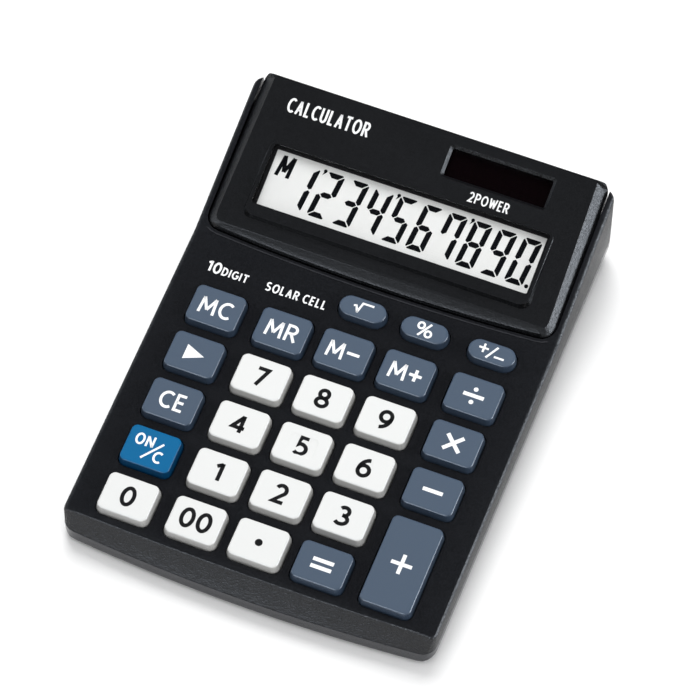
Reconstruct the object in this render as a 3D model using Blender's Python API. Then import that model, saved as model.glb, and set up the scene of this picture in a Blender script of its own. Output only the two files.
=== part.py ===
"""Ten-digit desk calculator with a raised display housing, as one assembly.

Axes: X across the keyboard, Y from the front edge to the display, Z up. The desk is Z = 0 and the
footprint is centred on the origin. Everything is built in metres.
"""
import math

import bmesh
import bpy
from mathutils import Matrix, Vector

MM = 0.001

# ---- driving dimensions: the case -------------------------------------------------------------
CASE_W = 102.0 * MM          # across the side walls
CASE_L = 137.0 * MM          # front edge to the back of the display housing
CASE_H = 31.0 * MM           # desk to the top rear edge of the display housing
FOOT_H = 1.2 * MM            # base above the desk
WALL = 1.9 * MM              # moulded wall of the two case halves
SHELL = 1.8 * MM             # deck, floor and housing skin
CLEAR = 0.35 * MM            # assembly gap between pieces that meet
DECK_FRONT = 12.1 * MM       # deck height at the front lip
DECK_TILT = math.radians(3.1)
PART_FRONT = 6.2 * MM        # parting plane at the front
PART_REAR = 8.8 * MM         # parting plane at the rear
LIP_RUN = 3.8 * MM           # how far the front face leans back
FRONT_BOW = 2.5 * MM         # forward bulge of the front edge
LIP_BOW = 1.0 * MM           # forward bulge of the deck edge above it
EDGE_R = 1.3 * MM            # rounding along the side walls
FRONT_R = 4.0 * MM           # plan radius of the front corners
REAR_R = 3.0 * MM            # plan radius of the rear corners
HOUSING_L = 44.8 * MM        # display housing, front seam to rear
HOUSING_PROUD = 1.2 * MM     # housing above the deck at its front seam
REAR_STEP = 0.3 * MM         # housing overhang behind the case
CHAMFER_REAR = 3.2 * MM      # side chamfer of the housing at the rear
CHAMFER_FRONT = 2.0 * MM     # side chamfer of the housing at the front
CHEEK_DROP = 2.0 * MM        # side cheeks below the housing top at the rear
# ---- driving dimensions: the keys -------------------------------------------------------------
KEY_GAP = 0.35 * MM          # key to aperture, all round
KEY_TRAVEL = 1.2 * MM
KEY_STAND = 2.3 * MM         # key top above the deck
KEY_TAPER = 0.40 * MM        # each side, deck to top
KEY_R = 1.9 * MM             # plan radius of the key corners
KEY_EDGE_R = 0.45 * MM       # height of the rounded top edge
SIDE_MARGIN = 7.9 * MM       # side of the case to the outer keys
FRONT_MARGIN = 6.83 * MM     # front of the case to the front row
SEAM_MARGIN = 4.6 * MM       # oval row to the housing seam
KEY_WEB = 2.86 * MM          # deck between the inner columns
OUTER_WEB = 4.24 * MM        # deck beside the outer columns
ROW_WEB = 3.08 * MM          # deck between the rows
OVAL_D = 6.6 * MM            # depth of the three oval keys
OVAL_INSET = 0.95 * MM       # the oval keys are narrower than the rest by this
OVAL_WEB = 4.36 * MM         # deck between the oval row and the next
FLANGE = 0.5 * MM            # retaining lip under the deck
FLANGE_T = 0.8 * MM
PLUNGER = 0.4 * MM
ROD_W = 3.2 * MM
# ---- driving dimensions: the display and the loose parts --------------------------------------
LCD_SIDE = 12.95 * MM        # side of the case to the visible display
LCD_D = 16.15 * MM           # visible depth of the display
LCD_AT = 18.7 * MM           # housing seam to the middle of the display
WINDOW_RIM = 0.85 * MM       # dark border between the display and its opening
FRAME_RIM = 1.7 * MM         # raised frame outside the opening, at the sides
FRAME_PROUD = 1.4 * MM       # raised frame above the housing at its front edge
FRAME_LEDGE = 4.1 * MM       # raised frame in front of the opening
LENS_T = 0.9 * MM
LCD_T = 1.6 * MM
SOLAR_W = 28.2 * MM
SOLAR_D = 7.8 * MM
SOLAR_SIDE = 16.5 * MM       # side of the case to the solar panel
SOLAR_BACK = 3.85 * MM       # rear of the case to the solar panel
MAT_T = 0.7 * MM
BOARD_T = 1.2 * MM
DOME_H = 0.9 * MM
CELL_R = 5.8 * MM
CELL_H = 5.4 * MM
FOOT_R = 4.0 * MM
SCREW_R = 0.80 * MM
SCREW_HEAD_R = 1.6 * MM
BOSS_R = 1.8 * MM
BOSS_OFF = 1.3 * MM          # boss to the side wall
BOARD_GAP = 0.6 * MM         # boss to the board
FOOT_SIDE = 13.0 * MM        # foot centres from the sides
FOOT_FRONT = 13.0 * MM       # and from the front
FOOT_BACK = 17.0 * MM        # and from the rear
DOOR_W = 24.0 * MM           # battery door
DOOR_D = 20.0 * MM
DOOR_R = 1.5 * MM
DOOR_GAP = 1.65 * MM         # foot recess to the door
DOOR_BACK = 15.0 * MM        # rear of the case to the door

# ---- derived ----------------------------------------------------------------------------------
HALF_W = CASE_W / 2
Y_FRONT = -CASE_L / 2
Y_REAR = CASE_L / 2
CASE_REAR = Y_REAR - REAR_STEP
SLOPE = math.tan(DECK_TILT)
DECK_FRONT_Y = Y_FRONT + LIP_RUN
SEAM_Y = Y_REAR - HOUSING_L
KEY_W = (CASE_W - 2 * SIDE_MARGIN - 2 * KEY_WEB - 2 * OUTER_WEB) / 5
KEY_D = (CASE_L - HOUSING_L - FRONT_MARGIN - SEAM_MARGIN - OVAL_D - OVAL_WEB - 4 * ROW_WEB) / 5
COL = KEY_W + KEY_WEB
OUTER_COL = KEY_W + OUTER_WEB
ROW = KEY_D + ROW_WEB
LAST_ROW_Y = Y_FRONT + FRONT_MARGIN + KEY_D / 2
LCD_W = CASE_W - 2 * LCD_SIDE
FLOOR_Z = FOOT_H + SHELL


def deck_z(y):
    return DECK_FRONT + (y - DECK_FRONT_Y) * SLOPE


def part_z(y):
    return PART_FRONT + (PART_REAR - PART_FRONT) * (y - Y_FRONT) / CASE_L


HOUSING_SLOPE = (CASE_H - deck_z(SEAM_Y) - HOUSING_PROUD) / (Y_REAR - SEAM_Y)
HOUSING_TILT = math.atan(HOUSING_SLOPE)


def housing_z(y):
    return CASE_H + (y - Y_REAR) * HOUSING_SLOPE


CHEEK_Y = SEAM_Y + 0.5 * MM
CHEEK_SLOPE = (housing_z(CASE_REAR) - CHEEK_DROP - deck_z(CHEEK_Y)) / (CASE_REAR - CHEEK_Y)


def top_z(y):
    return deck_z(y) + max(0.0, y - CHEEK_Y) * (CHEEK_SLOPE - SLOPE)


def skirt_z(y):
    """Underside of the housing skirt, parallel to the deck."""
    return deck_z(y) - 3.0 * MM


def pocket_z(y):
    return skirt_z(y) - CLEAR


# ---- mesh helpers -----------------------------------------------------------------------------
def material(name, rgb, rough, metal=0.0, alpha=1.0):
    mat = bpy.data.materials.new(name)
    mat.use_nodes = True
    bsdf = mat.node_tree.nodes["Principled BSDF"]
    bsdf.inputs["Base Color"].default_value = (*rgb, 1.0)
    bsdf.inputs["Roughness"].default_value = rough
    bsdf.inputs["Metallic"].default_value = metal
    bsdf.inputs["Alpha"].default_value = alpha
    return mat


def make(name, verts, faces, mat=None, matrix=None):
    mesh = bpy.data.meshes.new(name)
    mesh.from_pydata([tuple(v) for v in verts], [], faces)
    bm = bmesh.new()
    bm.from_mesh(mesh)
    bmesh.ops.remove_doubles(bm, verts=bm.verts, dist=1e-7)
    bmesh.ops.dissolve_degenerate(bm, edges=bm.edges, dist=1e-7)
    bmesh.ops.recalc_face_normals(bm, faces=bm.faces)
    bm.to_mesh(mesh)
    bm.free()
    obj = bpy.data.objects.new(name, mesh)
    bpy.context.scene.collection.objects.link(obj)
    if matrix is not None:
        obj.matrix_world = matrix
    if mat is not None:
        mesh.materials.append(mat)
    return obj


def cut(obj, tool, how="DIFFERENCE"):
    """Apply one exact Boolean and drop the tool."""
    bpy.context.view_layer.update()
    mod = obj.modifiers.new("cut", "BOOLEAN")
    mod.operation = how
    mod.solver = "EXACT"
    mod.object = tool
    graph = bpy.context.evaluated_depsgraph_get()
    mesh = bpy.data.meshes.new_from_object(obj.evaluated_get(graph))
    obj.modifiers.clear()
    old = obj.data
    mats = list(old.materials)
    obj.data = mesh
    mesh.materials.clear()
    for mat in mats:
        mesh.materials.append(mat)
    for poly in mesh.polygons:
        poly.material_index = 0
    name = old.name
    bpy.data.meshes.remove(old)
    mesh.name = name
    bpy.data.objects.remove(tool)
    return obj


def ring_faces(count, rings):
    faces = []
    for r in range(rings - 1):
        for i in range(count):
            j = (i + 1) % count
            faces.append((r * count + i, r * count + j, (r + 1) * count + j, (r + 1) * count + i))
    return faces


def loft(name, rings, mat=None, matrix=None):
    """Skin a stack of rings that share their point count; both ends are capped flat."""
    count = len(rings[0])
    verts = [p for ring in rings for p in ring]
    faces = ring_faces(count, len(rings))
    faces.append(tuple(reversed(range(count))))
    last = (len(rings) - 1) * count
    faces.append(tuple(range(last, last + count)))
    return make(name, verts, faces, mat, matrix)


def mirrored_loft(name, halves, mat=None):
    """Rings given as right halves, front centre to rear; caps are strips between mirrored points."""
    m = len(halves[0])
    rings = []
    for half in halves:
        rings.append(list(half) + [(-x, y, z) for x, y, z in reversed(half[1:])])
    count = 2 * m - 1
    verts = [p for ring in rings for p in ring]
    faces = ring_faces(count, len(rings))
    for base in (0, (len(rings) - 1) * count):
        faces.append((base, base + 1, base + count - 1))
        for k in range(1, m - 1):
            faces.append((base + k, base + k + 1, base + count - k - 1, base + count - k))
    return make(name, verts, faces, mat)


def plan_half(half_w, y_front, y_rear, bow, r_front, r_rear, stations=(), front_n=9, arc_n=5):
    """Right half of a plan outline: points and outward normals, front centre to rear."""
    pts = []
    x_end = half_w - r_front
    for i in range(front_n):
        x = x_end * i / (front_n - 1)
        grad = 2 * bow * x / half_w ** 2
        nrm = Vector((grad, -1.0)).normalized()
        pts.append((x, y_front + bow * (x / half_w) ** 2, nrm.x, nrm.y))
    start = math.atan2(-1.0, 2 * bow * x_end / half_w ** 2)
    cx = pts[-1][0] - r_front * math.cos(start)
    cy = pts[-1][1] - r_front * math.sin(start)
    cx = half_w - r_front
    for i in range(1, arc_n + 1):
        a = start * (1 - i / arc_n)
        pts.append((cx + r_front * math.cos(a), cy + r_front * math.sin(a), math.cos(a), math.sin(a)))
    for y in stations:
        pts.append((half_w, y, 1.0, 0.0))
    for i in range(arc_n + 1):
        a = math.pi / 2 * i / arc_n
        pts.append((half_w - r_rear + r_rear * math.cos(a), y_rear - r_rear + r_rear * math.sin(a),
                    math.cos(a), math.sin(a)))
    return pts


def box(name, x0, x1, y0, y1, z0, z1, mat=None, matrix=None):
    ring = [(x0, y0), (x1, y0), (x1, y1), (x0, y1)]
    return loft(name, [[(x, y, z0) for x, y in ring], [(x, y, z1) for x, y in ring]], mat, matrix)


def round_rect(w, d, r, n=4):
    """Centred rounded rectangle as a counter-clockwise ring."""
    r = min(r, w / 2 - 1e-5, d / 2 - 1e-5)
    pts = []
    for cx, cy, a0 in ((w / 2 - r, -d / 2 + r, -90), (w / 2 - r, d / 2 - r, 0),
                       (-w / 2 + r, d / 2 - r, 90), (-w / 2 + r, -d / 2 + r, 180)):
        for i in range(n + 1):
            a = math.radians(a0 + 90 * i / n)
            pts.append((cx + r * math.cos(a), cy + r * math.sin(a)))
    return pts


def disc(r, n=16):
    return [(r * math.cos(2 * math.pi * i / n), r * math.sin(2 * math.pi * i / n)) for i in range(n)]


def stack(name, levels, mat=None, matrix=None):
    """Loft of (ring, z) levels."""
    return loft(name, [[(x, y, z) for x, y in ring] for ring, z in levels], mat, matrix)


def at(x, y, z, tilt=0.0):
    return Matrix.Translation((x, y, z)) @ Matrix.Rotation(tilt, 4, "X")


def on_deck(x, y, depth=0.0):
    """Frame on the deck plane, local Z along its normal."""
    return at(x, y, deck_z(y), DECK_TILT) @ Matrix.Translation((0, 0, depth))


def on_housing(x, y, depth=0.0):
    return at(x, y, housing_z(y), HOUSING_TILT) @ Matrix.Translation((0, 0, depth))


# ---- start clean ------------------------------------------------------------------------------
for old in list(bpy.data.objects):
    bpy.data.objects.remove(old)

CASE_BLACK = material("case_black", (0.013, 0.013, 0.016), 0.46)
LOWER_BLACK = material("lower_black", (0.016, 0.016, 0.019), 0.52)
HOUSING_BLACK = material("housing_black", (0.020, 0.021, 0.023), 0.42)
KEY_WHITE = material("key_white", (0.86, 0.87, 0.86), 0.34)
KEY_SLATE = material("key_slate", (0.083, 0.125, 0.175), 0.36)
KEY_BLUE = material("key_blue", (0.006, 0.168, 0.376), 0.34)
CLEAR_LENS = material("clear_lens", (0.80, 0.82, 0.84), 0.05, 0.0, 0.20)
LCD_GREY = material("lcd_face", (0.80, 0.81, 0.79), 0.30)
SOLAR_COVER = material("solar_cover", (0.05, 0.02, 0.03), 0.06, 0.0, 0.35)
SOLAR_BLACK = material("solar_cell_black", (0.008, 0.006, 0.010), 0.22)
RUBBER = material("rubber_grey", (0.10, 0.10, 0.105), 0.80)
FOOT_RUBBER = material("foot_rubber", (0.012, 0.012, 0.013), 0.85)
BOARD_GREEN = material("board_green", (0.02, 0.14, 0.05), 0.45)
STEEL = material("screw_steel", (0.55, 0.56, 0.58), 0.32, 1.0)
NICKEL = material("contact_nickel", (0.60, 0.58, 0.54), 0.28, 1.0)
CELL_STEEL = material("cell_steel", (0.62, 0.63, 0.65), 0.24, 1.0)
STRIP_PINK = material("strip_rubber", (0.45, 0.16, 0.16), 0.75)
CHIP_BLACK = material("chip_epoxy", (0.012, 0.012, 0.012), 0.38)
CAP_BLUE = material("capacitor_sleeve", (0.02, 0.06, 0.20), 0.40)

# ---- key layout -------------------------------------------------------------------------------
COLS = [-COL - OUTER_COL, -COL, 0.0, COL, COL + OUTER_COL]


def row_y(row):
    """Rows count from 1 behind to 5 at the front; row 0 is the oval row."""
    if row == 0:
        return row_y(1) + KEY_D / 2 + OVAL_WEB + OVAL_D / 2
    return LAST_ROW_Y + (5 - row) * ROW


KEYS = [
    ("key_memory_clear", 0, 1, "slate"), ("key_memory_recall", 1, 1, "slate"),
    ("key_memory_minus", 2, 1, "slate"), ("key_memory_plus", 3, 1, "slate"),
    ("key_divide", 4, 1, "slate"), ("key_backspace", 0, 2, "slate"),
    ("key_7", 1, 2, "white"), ("key_8", 2, 2, "white"), ("key_9", 3, 2, "white"),
    ("key_multiply", 4, 2, "slate"), ("key_clear_entry", 0, 3, "slate"),
    ("key_4", 1, 3, "white"), ("key_5", 2, 3, "white"), ("key_6", 3, 3, "white"),
    ("key_minus", 4, 3, "slate"), ("key_on_clear", 0, 4, "blue"),
    ("key_1", 1, 4, "white"), ("key_2", 2, 4, "white"), ("key_3", 3, 4, "white"),
    ("key_plus", 4, 4.5, "tall"), ("key_0", 0, 5, "white"), ("key_00", 1, 5, "white"),
    ("key_point", 2, 5, "white"), ("key_equals", 3, 5, "slate"),
    ("key_root", 2, 0, "oval"), ("key_percent", 3, 0, "oval"), ("key_sign", 4, 0, "oval"),
]


def key_plan(kind):
    """Width, depth and corner radius of a key where it passes the deck."""
    if kind == "oval":
        return KEY_W - OVAL_INSET, OVAL_D, OVAL_D / 2
    if kind == "tall":
        return KEY_W, KEY_D + ROW, KEY_R
    return KEY_W, KEY_D, KEY_R


def key_place(col, row):
    return COLS[col], row_y(row)


# ---- upper case -------------------------------------------------------------------------------
STATIONS = (CHEEK_Y,)


def frontness(ny):
    return max(0.0, -ny) ** 2


def case_rings(inset, bottom, top, lean, edge, half_w=HALF_W, y_rear=CASE_REAR):
    """Right-half rings of the case form, from the parting plane to the rounded top edge."""
    plan = plan_half(half_w - inset, Y_FRONT + inset, y_rear - inset, FRONT_BOW,
                     FRONT_R - inset, max(REAR_R - inset, 0.8 * MM), STATIONS)
    rings = [[], [], [], [], []]
    for x, y, nx, ny in plan:
        f = frontness(ny)
        r = edge * (1 - 0.65 * f)
        yl = y + (lean - (FRONT_BOW - LIP_BOW) * (x / half_w) ** 2) * f
        rings[0].append((x, y, bottom(y)))
        for k, a in ((1, 0.0), (2, 30.0), (3, 60.0), (4, 90.0)):
            c = r * (1 - math.cos(math.radians(a)))
            s = r * (1 - math.sin(math.radians(a)))
            px, py = x - nx * c, yl - ny * c
            rings[k].append((max(px, 0.0) if x > 0 else 0.0, py, top(py) - s))
    return rings


upper = mirrored_loft("upper_case", case_rings(
    0.0, lambda y: part_z(y) + CLEAR / 2, top_z, LIP_RUN, EDGE_R), CASE_BLACK)

# housing plan, shared by the pocket
HOUSING_HW = HALF_W - WALL - CLEAR


def housing_plan(grow, y_rear, r_rear):
    return plan_half(HOUSING_HW + grow, SEAM_Y - grow, y_rear, 1.9 * MM, 4.0 * MM + grow, r_rear)


pocket = housing_plan(CLEAR, Y_REAR + 12 * MM, 1.0 * MM)
cut(upper, mirrored_loft("pocket", [[(x, y, pocket_z(y)) for x, y, _, _ in pocket],
                                    [(x, y, CASE_H + 9 * MM) for x, y, _, _ in pocket]]))

CAVITY_STEP = SEAM_Y - CLEAR - SHELL


def cavity_rings():
    plan = plan_half(HALF_W - WALL, Y_FRONT + WALL, CASE_REAR - WALL, FRONT_BOW, FRONT_R - WALL,
                     REAR_R - WALL, (CAVITY_STEP - 0.4 * MM, CAVITY_STEP))
    low, high = [], []
    for x, y, nx, ny in plan:
        f = frontness(ny)
        yl = y + (LIP_RUN - 1.9 * MM - (FRONT_BOW - LIP_BOW) * (x / HALF_W) ** 2) * f
        drop = SHELL if y < CAVITY_STEP - 0.2 * MM else SHELL + pocket_drop()
        low.append((x, y, part_z(y) - 2 * MM))
        high.append((x, yl, deck_z(yl) - drop))
    return [low, high]


def pocket_drop():
    return deck_z(0.0) - pocket_z(0.0)


cut(upper, mirrored_loft("cavity", cavity_rings()))
# opening in the pocket floor for the display, its strip and the solar leads
cut(upper, box("floor_opening", -LCD_W / 2 - 2 * MM, LCD_W / 2 + 2 * MM, SEAM_Y + 8 * MM,
               CASE_REAR - 7 * MM, PART_REAR, CASE_H))

# screw bosses hang from the deck and from the pocket floor
FRONT_BOSS_Y = row_y(5) + ROW / 2
BOSSES = [(sx * (HALF_W - WALL - BOSS_OFF - BOSS_R), y) for sx in (-1, 1) for y in
          (FRONT_BOSS_Y, row_y(2), CASE_REAR - WALL - 6 * MM)]
BOSS_FOOT = FLOOR_Z + CLEAR
for i, (bx, by) in enumerate(BOSSES):
    roof = deck_z(by) - (SHELL / 2 if by < CAVITY_STEP else pocket_drop() + SHELL / 2)
    cut(upper, stack("boss", [(disc(BOSS_R), BOSS_FOOT), (disc(BOSS_R), roof)],
                     None, at(bx, by, 0)), "UNION")
for i, (bx, by) in enumerate(BOSSES):
    roof = deck_z(by) - (SHELL if by < CAVITY_STEP else pocket_drop() + SHELL)
    cut(upper, stack("boss_bore", [(disc(SCREW_R + 0.3 * MM, 12), BOSS_FOOT - MM),
                                   (disc(SCREW_R + 0.3 * MM, 12), roof - 0.6 * MM)],
                     None, at(bx, by, 0)))

# key apertures
for name, col, row, kind in KEYS:
    w, d, r = key_plan(kind)
    kx, ky = key_place(col, row)
    ring = round_rect(w + 2 * KEY_GAP, d + 2 * KEY_GAP, r + KEY_GAP, 3)
    cut(upper, stack("aperture", [(ring, -SHELL - 2 * MM), (ring, 2 * MM)], None, on_deck(kx, ky)))

# ---- lower case -------------------------------------------------------------------------------


def lower_rings(inset, grow_top, floor):
    plan = plan_half(HALF_W, Y_FRONT, CASE_REAR, FRONT_BOW, FRONT_R, REAR_R, (0.0,))
    rings = [[], [], []]
    for x, y, nx, ny in plan:
        f = frontness(ny)
        side = 0.6 * MM if inset else 1.5 * MM
        tuck = inset + side * (1 - f) + 0.6 * MM * f
        rings[0].append((max(x - nx * tuck, 0.0), y - ny * tuck, floor))
        waist = part_z(y) - 2.8 * MM
        waist = waist * (1 - f) + (floor + 0.9 * MM) * f
        waist = max(waist, floor + 0.5 * MM)
        rings[1].append((max(x - nx * inset, 0.0), y - ny * inset, waist))
        rings[2].append((max(x - nx * inset, 0.0), y - ny * inset, part_z(y) + grow_top))
    return rings


lower = mirrored_loft("lower_case", lower_rings(0.0, -CLEAR / 2, FOOT_H), LOWER_BLACK)
cut(lower, mirrored_loft("tray", lower_rings(WALL, 3 * MM, FLOOR_Z)))

FEET = [(sx * (HALF_W - FOOT_SIDE), y) for sx in (-1, 1) for y in (Y_FRONT + FOOT_FRONT, CASE_REAR - FOOT_BACK)]
for fx, fy in FEET:
    ring = disc(FOOT_R + CLEAR, 24)
    cut(lower, stack("foot_recess", [(ring, FOOT_H - MM), (ring, FOOT_H + 0.9 * MM)], None, at(fx, fy, 0)))
for bx, by in BOSSES:
    head = disc(SCREW_HEAD_R + 0.3 * MM)
    bore = disc(SCREW_R + 0.3 * MM, 12)
    cut(lower, stack("screw_seat", [(head, FOOT_H - MM), (head, FOOT_H + 0.9 * MM)], None, at(bx, by, 0)))
    cut(lower, stack("screw_bore", [(bore, FOOT_H), (bore, FLOOR_Z + MM)], None, at(bx, by, 0)))

# battery door in the base
DOOR_X = -(HALF_W - FOOT_SIDE - FOOT_R - CLEAR - DOOR_GAP - DOOR_W / 2)
DOOR_Y = CASE_REAR - DOOR_BACK - DOOR_D / 2
door_hole = round_rect(DOOR_W, DOOR_D, DOOR_R)
cut(lower, stack("door_hole", [(door_hole, FOOT_H - MM), (door_hole, FLOOR_Z + MM)],
                 None, at(DOOR_X, DOOR_Y, 0)))
DOOR_SCREW = (DOOR_X, DOOR_Y - DOOR_D / 2 + 3.4 * MM)
door_ring = round_rect(DOOR_W - 2 * CLEAR, DOOR_D - 2 * CLEAR, DOOR_R - CLEAR)
door = stack("battery_door", [(door_ring, FOOT_H), (door_ring, FOOT_H + SHELL)],
             LOWER_BLACK, at(DOOR_X, DOOR_Y, 0))
cut(door, stack("seat", [(disc(SCREW_HEAD_R + 0.3 * MM), FOOT_H - MM),
                         (disc(SCREW_HEAD_R + 0.3 * MM), FOOT_H + 0.9 * MM)], None, at(*DOOR_SCREW, 0)))
cut(door, stack("bore", [(disc(SCREW_R + 0.3 * MM, 12), FOOT_H),
                         (disc(SCREW_R + 0.3 * MM, 12), FLOOR_Z + MM)], None, at(*DOOR_SCREW, 0)))

# board standoffs rise square to the board
BOARD_TOP = -(SHELL + 0.3 * MM + FLANGE_T + PLUNGER + KEY_TRAVEL + 0.3 * MM + DOME_H + MAT_T + 0.3 * MM)
BOARD_HW = HALF_W - WALL - BOSS_OFF - 2 * BOSS_R - BOARD_GAP
BOARD_Y0 = DECK_FRONT_Y + 1.6 * MM
BOARD_Y1 = SEAM_Y + 9 * MM
BOARD_SCREWS = [(sx * (BOARD_HW - 4 * MM), SEAM_Y + 5 * MM) for sx in (-1, 1)]
for sx, sy in BOARD_SCREWS:
    under = BOARD_TOP - BOARD_T - CLEAR
    foot = -(deck_z(sy) - FLOOR_Z + 0.8 * MM)
    cut(lower, stack("standoff", [(disc(2.1 * MM), foot), (disc(2.1 * MM), under)],
                     None, on_deck(sx, sy)), "UNION")
    cut(lower, stack("standoff_bore", [(disc(SCREW_R + 0.3 * MM, 12), under - 3.6 * MM),
                                       (disc(SCREW_R + 0.3 * MM, 12), under + MM)], None, on_deck(sx, sy)))

# ---- display housing --------------------------------------------------------------------------


def housing_rings(inset, lift, skirt):
    """Right-half rings of the housing; inset and lift give the inner form."""
    r_rear = max(1.6 * MM - 0.7 * inset, 0.4 * MM)
    rings = [[], [], [], []]
    for x, y, nx, ny in housing_plan(-inset, Y_REAR - inset, r_rear):
        f = frontness(ny)
        b = max(0.0, ny) ** 2
        t = min(max((y - SEAM_Y) / (Y_REAR - SEAM_Y), 0.0), 1.0)
        side = CHAMFER_FRONT + (CHAMFER_REAR - CHAMFER_FRONT) * t - 0.4 * inset
        front = 1.2 * MM - 0.4 * inset
        rear = 0.5 * r_rear
        drop = side * (1 - f) * (1 - b) + front * f + rear * b
        mid = 0.5 * (1 - f) * (1 - b) + 0.29 * (f + b)
        rings[0].append((x, y, skirt(y)))
        rings[1].append((x, y, housing_z(y) - lift - drop))
        for k, share in ((2, mid), (3, 1.0)):
            px = x * (1 - side * share / (HOUSING_HW - inset))
            py = y + (front * f - rear * b) * share
            rings[k].append((px, py, housing_z(py) - lift - drop * (mid if k == 2 else 0.0)))
    return rings


housing = mirrored_loft("display_housing", housing_rings(0.0, 0.0, skirt_z), HOUSING_BLACK)

# raised window frame: level with the housing behind the opening, proud in front of it
LCD_Y = SEAM_Y + LCD_AT
OPEN_W = LCD_W + 2 * WINDOW_RIM
OPEN_D = LCD_D + 1.7 * WINDOW_RIM
FRAME_D = OPEN_D + FRAME_LEDGE + 1.0 * MM
FRAME_SHIFT = -(FRAME_LEDGE - 1.0 * MM) / 2


def frame_form(grow):
    """Wedge seen in the housing plane: x, y across it and its height above the housing."""
    base, top = [], []
    w, d = OPEN_W + 2 * FRAME_RIM, FRAME_D
    for x, y in round_rect(w, d, 2.4 * MM, 4):
        bow = -1.3 * MM * (1 - (2 * x / w) ** 2) if y < 0 else 0.0
        lift = FRAME_PROUD * (0.5 - y / d)
        base.append((x, y + bow, -0.5 * MM))
        s = 1 - 1.6 * MM / w
        top.append((x * s, y + bow + (0.9 * MM if y < 0 else 0.0), max(lift, 0.02 * MM)))
    return [base, top]


cut(housing, loft("frame", frame_form(0.0), None, on_housing(0, LCD_Y + FRAME_SHIFT * math.cos(HOUSING_TILT))),
    "UNION")
SOLAR_X = HALF_W - SOLAR_SIDE - SOLAR_W / 2
SOLAR_Y = Y_REAR - SOLAR_BACK - SOLAR_D / 2
wide = round_rect(SOLAR_W + 3.2 * MM, SOLAR_D + 3.2 * MM, 1.5 * MM, 3)
thin = round_rect(SOLAR_W, SOLAR_D, 0.5 * MM, 3)
cut(housing, stack("solar_opening", [(thin, -4 * MM), (thin, -0.8 * MM), (wide, 0.8 * MM)],
                   None, on_housing(SOLAR_X, SOLAR_Y)))
cut(housing, mirrored_loft("hollow", housing_rings(SHELL, SHELL, lambda y: skirt_z(y) - MM)))
opening = round_rect(OPEN_W, OPEN_D, 1.0 * MM, 3)
cut(housing, stack("opening", [(opening, -6 * MM), (opening, 6 * MM)], None, on_housing(0, LCD_Y)))
LENS_W, LENS_D = OPEN_W + 3.0 * MM, OPEN_D + 3.0 * MM
land = round_rect(LENS_W + 2 * CLEAR, LENS_D + 2 * CLEAR, 1.0 * MM, 3)
cut(housing, stack("land", [(land, -6 * MM), (land, -1.0 * MM)], None, on_housing(0, LCD_Y)))

# ---- display, solar panel and their covers ----------------------------------------------------
lens_ring = round_rect(LENS_W, LENS_D, 0.8 * MM, 3)
stack("display_lens", [(lens_ring, -1.0 * MM - CLEAR - LENS_T), (lens_ring, -1.0 * MM - CLEAR)],
      CLEAR_LENS, on_housing(0, LCD_Y))
LCD_TOP = -1.0 * MM - 2 * CLEAR - LENS_T
lcd_ring = round_rect(LCD_W + 3.4 * MM, OPEN_D + 1.9 * MM, 0.3 * MM, 1)
stack("lcd_panel", [(lcd_ring, LCD_TOP - LCD_T), (lcd_ring, LCD_TOP)], LCD_GREY, on_housing(0, LCD_Y))
STRIP_TOP = LCD_TOP - LCD_T - CLEAR
box("lcd_strip", -LCD_W / 2, LCD_W / 2, -1.1 * MM, 1.1 * MM, STRIP_TOP - 2.2 * MM, STRIP_TOP, STRIP_PINK,
    on_housing(0, LCD_Y + LCD_D / 2 - 1 * MM))
SOLAR_TOP = -SHELL - CLEAR
cover_ring = round_rect(SOLAR_W + 3.0 * MM, SOLAR_D + 1.6 * MM, 0.6 * MM, 3)
stack("solar_window", [(cover_ring, SOLAR_TOP - 0.8 * MM), (cover_ring, SOLAR_TOP)],
      SOLAR_COVER, on_housing(SOLAR_X, SOLAR_Y))
box("solar_cell", -SOLAR_W / 2 - MM, SOLAR_W / 2 + MM, -SOLAR_D / 2 - 0.3 * MM, SOLAR_D / 2 + 0.3 * MM,
    SOLAR_TOP - 0.8 * MM - CLEAR - 1.1 * MM, SOLAR_TOP - 0.8 * MM - CLEAR, SOLAR_BLACK,
    on_housing(SOLAR_X, SOLAR_Y))

# ---- keys -------------------------------------------------------------------------------------
SHADE = {"white": KEY_WHITE, "slate": KEY_SLATE, "blue": KEY_BLUE, "tall": KEY_SLATE, "oval": KEY_SLATE}
for name, col, row, kind in KEYS:
    w, d, r = key_plan(kind)
    kx, ky = key_place(col, row)
    full = round_rect(w, d, r, 3)
    brow = round_rect(w - 2 * KEY_TAPER * 0.85, d - 2 * KEY_TAPER * 0.85, r - KEY_TAPER * 0.5, 3)
    crown = round_rect(w - 2 * KEY_TAPER - 0.8 * MM, d - 2 * KEY_TAPER - 0.8 * MM, r - KEY_TAPER * 0.7, 3)
    ledge = -SHELL - 0.3 * MM
    flange = round_rect(w - 2.0 * MM, d + 2 * KEY_GAP + 2 * FLANGE, 0.8 * MM, 1)
    if kind == "oval":
        flange = round_rect(w - OVAL_D, d + 2 * KEY_GAP + 2 * FLANGE, 0.8 * MM, 1)
    rod = round_rect(ROD_W, ROD_W, 0.375 * ROD_W, 1)
    body = stack(name, [(full, ledge - FLANGE_T), (full, 0.0), (brow, KEY_STAND - KEY_EDGE_R),
                        (crown, KEY_STAND)], SHADE[kind], on_deck(kx, ky))
    cut(body, stack("flange", [(flange, ledge - FLANGE_T), (flange, ledge)], None, on_deck(kx, ky)), "UNION")
    cut(body, stack("rod", [(rod, ledge - FLANGE_T - PLUNGER), (rod, ledge - FLANGE_T + 0.3 * MM)],
                    None, on_deck(kx, ky)), "UNION")

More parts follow.
